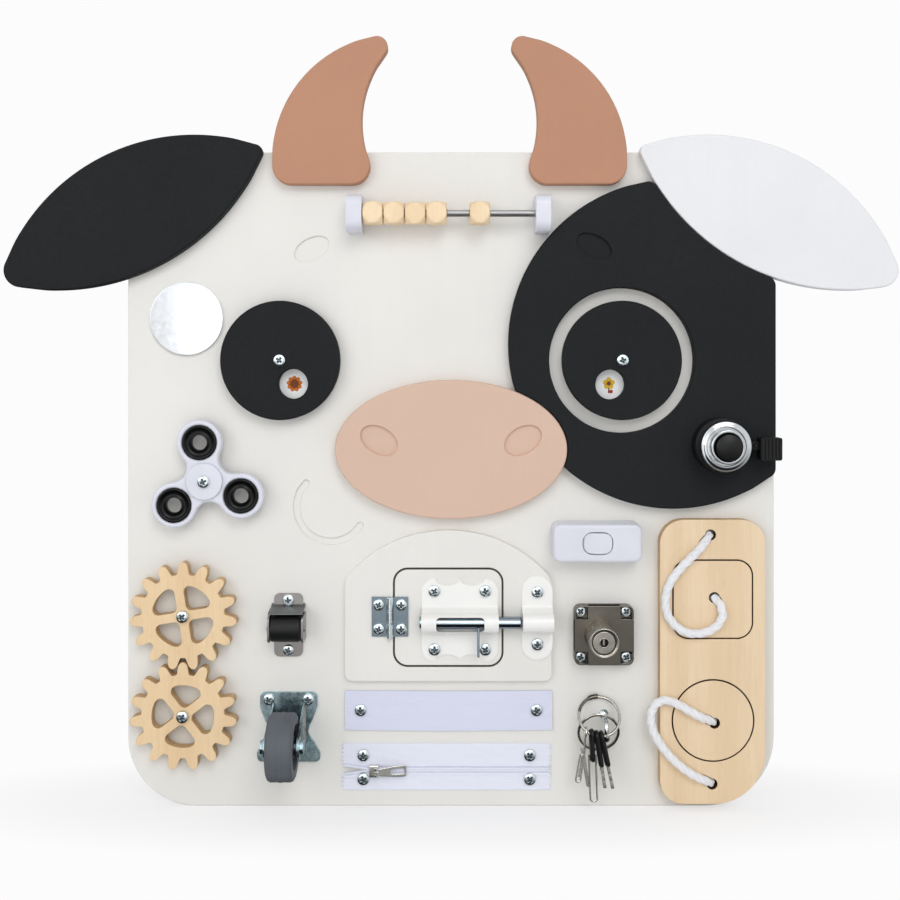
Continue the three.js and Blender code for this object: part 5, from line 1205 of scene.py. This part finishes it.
tapes = merged("zip_tapes", *[zip_tape(side) for side in (-1, 1)])
tapes = piece("zip_tapes", tapes, "board", ("zipper_tape",), (TAPE,), 60, False)
parts = [rolled_edge(side) for side in (-1, 1)]
for side in (-1, 1):
    seam = [at(ZIP_X + x, 1.2, CHAIN_Z + side * (opening(ZIP_X + x) + 3.4)) for x in range(-66, 67)]
    parts.append(tube_mesh("seam", seam, 0.2 * MM, 8))
    for k in range(-118, -88):
        x = ZIP_X + k * 0.56 + side * 0.14
        tooth = [box_loop(x, CHAIN_Z + side * (opening(x) - 0.3), 0.3, 0.9)]
        parts.append(marked(slab_mesh("tooth", tooth, 1.1, 1.6, 0.1, steps=1, back=0.05), 1))
chain = piece("zip_teeth", merged("zip_teeth", *parts), "board", (), (TAPE, WHITE_PLASTIC), 60, False)
screws("zip_screws", "board", zip_heads, 0.9, 4)
softened("zip_slider", "zipper_slider", "slider", SILVER, 0.3)


def placed(mesh, rule):
    """The mesh with every point (x, height, z), in millimetres, moved by a rule."""
    for v in mesh.vertices:
        v.co = at(*rule(*place_of(v.co)))
    return outward(mesh)


PIN_X, PIN_H = -48.05, 6.9
tab = [(-49.3, -2.1), (-47, -2.2), (-43, -2.7), (-38, -3.3), (-32, -3.7), (-29.6, -3.7), (-28.7, -3.3), (-28.5, -2.6)]
tab = [(x, CHAIN_Z + z) for x, z in [*tab, *[(x, -z) for x, z in tab[::-1]]]]
grip = box_loop(-34.2, CHAIN_Z, 8.8, 3.5, 1)
tab = slab_mesh("tab", [tab, grip], PIN_H - 0.5, PIN_H + 0.5, 0.28, back=0.28)
slope = math.radians(12)
tab = placed(tab, lambda x, h, z: (
    PIN_X + (x - PIN_X) * math.cos(slope) + (h - PIN_H) * math.sin(slope),
    PIN_H - (x - PIN_X) * math.sin(slope) + (h - PIN_H) * math.cos(slope), z,
))
collar_rows = [(0.85, -0.9), (1.4, -0.7), (1.4, 0.7), (0.85, 0.9)]
collars = [turned_mesh("collar", collar_rows, (PIN_X, PIN_H, CHAIN_Z + s * 2), "z", 32) for s in (-1, 1)]
piece("zip_pull", merged("zip_pull", tab, *collars), "pull", ("zipper_pull",), (SILVER,) * 3, 40)


# Switch

SWITCH = (93.3, -39.3)
well = (box_loop(*SWITCH, 19.4, 14.3, 6.2), 8)
shell = merged(
    "switch_shell", slab_mesh("lower", [box_loop(*SWITCH, 57, 25, 5)], 0, 9.2, 0.35, back=0.4),
    slab_mesh("upper", [box_loop(*SWITCH, 56.6, 24.6, 4.9)], 9.3, 17, 2.4, [well], 7, 0.35),
)
piece("switch_shell", shell, "board", ("switch_body",), (WHITE_PLASTIC, WHITE_PLASTIC))
softened("switch_button", "switch_rocker", "rocker", WHITE_PLASTIC, 0.8)


# Bell

BELL = (172.1, 0, 23)
softened("bell_holder", "bell_base", "board", BLACK_PLASTIC, 0.5)
dome_rows = [
    (15.5, 19.8), (15.7, 20.2), (15.8, 24), (15.8, 27.4), *arc(15.1, 27.8, 0.7, 0, 80, 5), (14.7, 28.45),
    (13.9, 28.9), (13, 29.2), (12.4, 29.1), (12.1, 28.6), (12, 26.8), (11, 26.8), (10.9, 28.8), (10.8, 32.9),
    *arc(10.2, 33.2, 0.6, 0, 80, 5), (9.4, 33.9), (8.9, 33.6), (8.7, 32.9), (8.7, 31.6), (9.6, 31), (9.8, 26),
    (13.2, 26), (14.5, 25), (14.9, 23.6), (14.8, 19.8),
]
turned("bell_shell", dome_rows, BELL, "board", CHROME, ("bell_dome",), steps=120, angle=40)
softened("bell_thumb", "bell_striker", "striker", BLACK_PLASTIC, 0.3)


# Lock, hook, rings and keys

LOCK_X, LOCK_Z = 98.5, -99.8
BARREL = (95.5, 0, -99.2)
lock_heads = [(LOCK_X + sx * 14.8, LOCK_Z + sz * 14.8) for sx, sz in product((-1, 1), repeat=2)]
softened(
    "lock_case", "lock_body", "board", GUN, 0.5, lock_heads, 3,
    lambda x, height, z: height < 8.9 or math.hypot(x - BARREL[0], z - BARREL[2]) > 9.8,
)
# The barrel takes the lighter gunmetal: painted light that sets it off from the case it is cast with.
barrel_rows = [
    (9.9, 8.3), (9.55, 8.7), (9.35, 9.2), (9.3, 10), (9.3, 29.8), (9.15, 30.25), (8.8, 30.5), (8.2, 30.5),
    (7.75, 30.3), (7.5, 29.9), (7.4, 29.4), (7.4, 8.3),
]
turned("lock_barrel", barrel_rows, BARREL, "board", PALE_AND_LIT_GUN, steps=96, angle=40)
rims = [box_loop(LOCK_X, LOCK_Z, 38.2, 38.2, 4), box_loop(LOCK_X, LOCK_Z, 36, 36, 2.9)]
piece("lock_rim", slab_mesh("lock_rim", rims, 2.9, 8.2, 0.35), "board", (), (GUN,) * 3)
screws("lock_screws", "board", lock_heads, 3, 4)
core_rows = [
    (0, 9.8), (7.1, 9.8), (7.1, 29.3), *arc(6.6, 29.3, 0.5, 0, 90, 4), (2.9, 29.8), (2.6, 29.5), (2.6, 27), (0, 27),
]
turned("lock_core", core_rows, BARREL, "plug", PALE_AND_LIT_GUN, ("lock_plug",), steps=72, angle=40)
# A black disc in the plug's keyhole, with the key slot cut through it: painted shade in the hole.
keyhole_shade = [circle(BARREL[0], BARREL[2], 2.55, 40), box_loop(BARREL[0], BARREL[2], 1.3, 4.2, 0.5)]
mouth = merged(
    "key_mouth", turned_mesh("rim", arc(2.9, 29.85, 0.35, -90, 270, 10), BARREL, steps=48),
    marked(slab_mesh("dark", keyhole_shade, 27, 28.6, 0.1, steps=1, back=0), 1),
)
piece("key_mouth", mouth, "plug", (), (PALE_AND_LIT_GUN, GLOSS_BLACK), 40)
turned("lock_lip", arc(8.75, 30.35, 0.5, -90, 270, 10), BARREL, "board", PALE_AND_LIT_GUN, steps=72)
softened("wall_hook", "key_hook", "board", ZINC, 0)


WIRE_SIDES = 12


def ring_arc(name, centre, axis, radius, wide, thick, first, last, count, turns=1):
    """Wire of an oval section round a circle, wide across it and thick along its axis, between two angles
    in degrees. With two turns it steps over itself half way."""
    side = Vector((1, 0, 0))
    side = (side - axis * side.dot(axis)).normalized()
    across = axis.cross(side)
    if across.z < 0:
        across = -across
    verts = []
    for k in range(count + 1):
        share = k / count
        angle = math.radians(first + (last - first) * share)
        out = side * math.cos(angle) + across * math.sin(angle)
        lift = thick * 0.98 * max(-1, min(1, (share - 0.5) * 16)) if turns > 1 else 0
        for c, s in around(WIRE_SIDES):
            verts.append((centre + out * (radius + wide * c) + axis * (lift + thick * s)) * MM)
    ends = [tuple(range(start, start + WIRE_SIDES)) for start in (0, count * WIRE_SIDES)]
    return mesh_of(name, verts, [*lofted(count + 1, WIRE_SIDES), *ends])


def ring_place(node):
    """Centre, axis and outer radius of a CAD ring, from its points."""
    low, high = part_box(node)
    centre = (low + high) / 2 / MM
    spread = [v.co / MM - centre for v in nodes[node].data.vertices]
    axis = max((spread[0].cross(s) for s in spread), key=lambda w: w.length).normalized()
    for _ in range(30):
        shift = sum((s * s.dot(axis) for s in spread), Vector())
        axis = (axis - shift / sum(s.dot(s) for s in spread) * 1.6).normalized()
    return centre, axis, max(s.length for s in spread)


for name, node, body in (
    ("upper_split_ring", "ring_upper", "upper_ring"), ("lower_split_ring", "ring_lower", "lower_ring"),
):
    centre, axis, reach = ring_place(node)
    parts = [ring_arc(name, centre, axis, reach - 0.85, 0.82, 0.45, 120, 840, 192, 2)]
    if node == "ring_upper":
        front = centre - axis * math.copysign(0.5, axis.y)
        parts.append(marked(ring_arc(name, front, axis, reach - 0.85, 1, 1, 104, 166, 40), 1))
        parts.append(marked(ring_arc(name, front, axis, reach - 0.75, 1.6, 1.35, 90, 116, 20), 1))
    piece(name, merged(name, *parts), body, (node,), (RING_STEEL, DARK_STEEL), 50, False)


# Each key's place on the upper ring as x, height and z, and its tilt.
KEY_PLACES = (
    (95.7, 17.68, -162.28, 12), (92.5, 17.53, -162.09, 9), (89.3, 16.84, -161.22, 2), (85.7, 15.2, -159.14, -9),
)


def hung(number, x, height, z):
    """A point of a key, from its hole, as it hangs."""
    px, ph, pz, tilt = KEY_PLACES[number - 1]
    c, s = math.cos(math.radians(tilt)), math.sin(math.radians(tilt))
    return px + x * c - z * s, ph + height, pz + x * s + z * c


def edge_on(number, loops, thick, edge):
    """A flat part of a key, seen on its edge: its loops are of height and z."""
    mesh = slab_mesh("flat", loops, -thick / 2, thick / 2, edge, back=edge)
    return placed(mesh, lambda a, b, c: hung(number, b, a, c))


def bent(number, points, radius, steps=6):
    path = centripetal([at(*hung(number, *p)) for p in points], steps)
    return tube_mesh("bent", path, radius * MM, 12)


def blade_loop(low, width=4.6):
    """A key's blade with its cuts on the front."""
    half = width / 2
    loop = [(-half, -15), (-half, low + 0.8), (-half + 0.8, low), (half - 0.8, low), (half, low + 0.8)]
    for k in range(5):
        z = low + 2 + k * 2.3
        cut = half - 1 + 0.35 * (k % 2)
        loop += [(half, z - 0.5), (cut, z), (cut, z + 0.5), (half, z + 1)]
    return [*loop, (half, -15)]


def head_loops(low, width=9):
    return [box_loop(0, (4.4 + low) / 2, width, 4.4 - low, 3.6), circle(0, 0, 2.7, 32)]


def loop_end(radius, z):
    """The round end of a wire loop that hangs down to z."""
    turns = [math.radians(a) for a in range(0, -181, -20)]
    return [(radius * math.cos(a), 0, z + radius * math.sin(a)) for a in turns]


def key(number, body, materials, *parts):
    name = f"flat_key_{number}"
    piece(name, merged(name, *parts), body, (f"key_{number}",), materials, 40)


for number, body, low, end, thick in ((1, "first_key", -18.4, -32.4, 3.3), (2, "second_key", -18.9, -32, 3.1)):
    blade = marked(edge_on(number, [blade_loop(end)], 2.2, 0.3), 1)
    key(number, body, (BLACK_PLASTIC, SILVER), marked(edge_on(number, head_loops(low), thick, 1.25), 0), blade)
loop = [
    (2, 0, -12), (2.1, 0, -20), (2.1, 0, -30), *loop_end(2.1, -39.6), (-2.1, 0, -30), (-2.1, 0, -20), (-2, 0, -12),
]
spare = [(-1.2, -8), (-1.3, -32.4), (0, -33.4), (1.3, -32.4), (1.2, -8)]
spare = slab_mesh("spare", [spare], -0.6, 0.6, 0.25, back=0.25)
spare = placed(spare, lambda x, h, z: hung(3, x - 7.2 - z * 0.13, h - 2.4, z))
key(
    3, "third_key", (BLACK_PLASTIC, SILVER), marked(edge_on(3, head_loops(-16.6, 8), 2.9, 1.1), 0),
    marked(bent(3, loop, 0.65), 1), marked(spare, 1),
)
eye_ring = [(0, 3.1 * math.sin(a), -0.4 + 3.1 * math.cos(a)) for a in [math.pi * k / 8 for k in range(17)]]
loop = [
    (0, 0, -3.4), (0.4, 0, -6), (1.1, 0, -11), (1.4, 0, -16), (1.4, 0, -24), *loop_end(1.4, -31), (-1.4, 0, -24),
    (-1.2, 0, -15),
]
key(
    4, "fourth_key", (SILVER,) * 3, bent(4, eye_ring, 0.62, 3), bent(4, loop, 0.62),
    edge_on(4, [blade_loop(-29, 3.4)], 1, 0.2),
)


# Light and floor

WHITE = (0.98, 0.975, 0.98, 1)
world = bpy.data.worlds.new("world")
scene.world = world
world.use_nodes = True


def stage_light():
    """Even studio light: a pale world, white behind the object, and three soft lamps. What shines shows
    a room that is white above and dark low down."""
    tree = world.node_tree
    back = tree.nodes["Background"]
    back.inputs["Color"].default_value = (0.96, 0.98, 1, 1)
    back.inputs["Strength"].default_value = 0.55
    white = added(tree, "Background", {"Color": WHITE})
    room = added(tree, "Background", {"Color": (0.97, 0.99, 1, 1)})
    way = added(tree, "TexCoord")
    parts = added(tree, "SeparateXYZ")
    lean = added(tree, "Math", {1: 0.2}, operation="MULTIPLY_ADD")
    climb = ranged(tree, -0.5, 0.12, 0.03, 1)
    path = added(tree, "LightPath")
    seen = added(tree, "Math", operation="MAXIMUM")
    first = added(tree, "MixShader")
    second = added(tree, "MixShader")
    linked(
        tree,
        (way.outputs["Generated"], parts.inputs[0]),
        (parts.outputs["X"], lean.inputs[0]),
        (parts.outputs["Z"], lean.inputs[2]),
        (lean.outputs[0], climb.inputs["Value"]),
        (climb.outputs["Result"], room.inputs["Strength"]),
        (path.outputs["Is Camera Ray"], seen.inputs[0]),
        (path.outputs["Is Transmission Ray"], seen.inputs[1]),
        (seen.outputs[0], first.inputs[0]),
        (back.outputs[0], first.inputs[1]),
        (white.outputs[0], first.inputs[2]),
        (path.outputs["Is Glossy Ray"], second.inputs[0]),
        (first.outputs[0], second.inputs[1]),
        (room.outputs[0], second.inputs[2]),
        (second.outputs[0], tree.nodes["World Output"].inputs["Surface"]),
    )
    for name, place, size, power in (
        ("key", (0.6, -2.6, 1.8), 1.6, 29),
        ("fill", (-1.5, -2.0, 0.7), 1.4, 10.5),
        ("low", (-0.15, -1.4, -0.1), 0.7, 1.5),
    ):
        lamp = bpy.data.lights.new(name, "AREA")
        lamp.size = size
        lamp.energy = power
        made = linked_object(name, lamp)
        made.location = place
        made.rotation_euler = (-Vector(place)).to_track_quat("-Z", "Y").to_euler()


def floor(size=6, z=-0.2125):
    """A pale floor that keeps the shadow close to the object and fades into the white background."""
    mesh = bpy.data.meshes.new("floor")
    mesh.from_pydata([(-size, -size, z), (size, -size, z), (size, size, z), (-size, size, z)], [], [(0, 1, 2, 3)])
    made = linked_object("floor", mesh)
    made.visible_glossy = False
    s = Shader("floor", (0.95, 0.95, 0.95, 1), 0.8, specular=0.1)
    glow = s.node("Emission", {"Color": WHITE})
    mix = s.node("MixShader")
    path = s.node("LightPath")
    squeeze = s.node("Mapping", {"Scale": (0.4, 1.6, 0)})
    spread = s.node("VectorMath", operation="LENGTH")
    fade = ranged(s.tree, 0.03, 0.15, 0.42, 1)
    both = s.node("Math", operation="MULTIPLY")
    linked(
        s.tree,
        (s.object, squeeze.inputs["Vector"]),
        (squeeze.outputs["Vector"], spread.inputs[0]),
        (spread.outputs["Value"], fade.inputs["Value"]),
        (path.outputs["Is Camera Ray"], both.inputs[0]),
        (fade.outputs["Result"], both.inputs[1]),
        (both.outputs[0], mix.inputs[0]),
        (s.main.outputs[0], mix.inputs[1]),
        (glow.outputs[0], mix.inputs[2]),
        (mix.outputs[0], s.tree.nodes["Material Output"].inputs["Surface"]),
    )
    mesh.materials.append(s.material)


stage_light()

floor()

scene.view_settings.view_transform = "Standard"
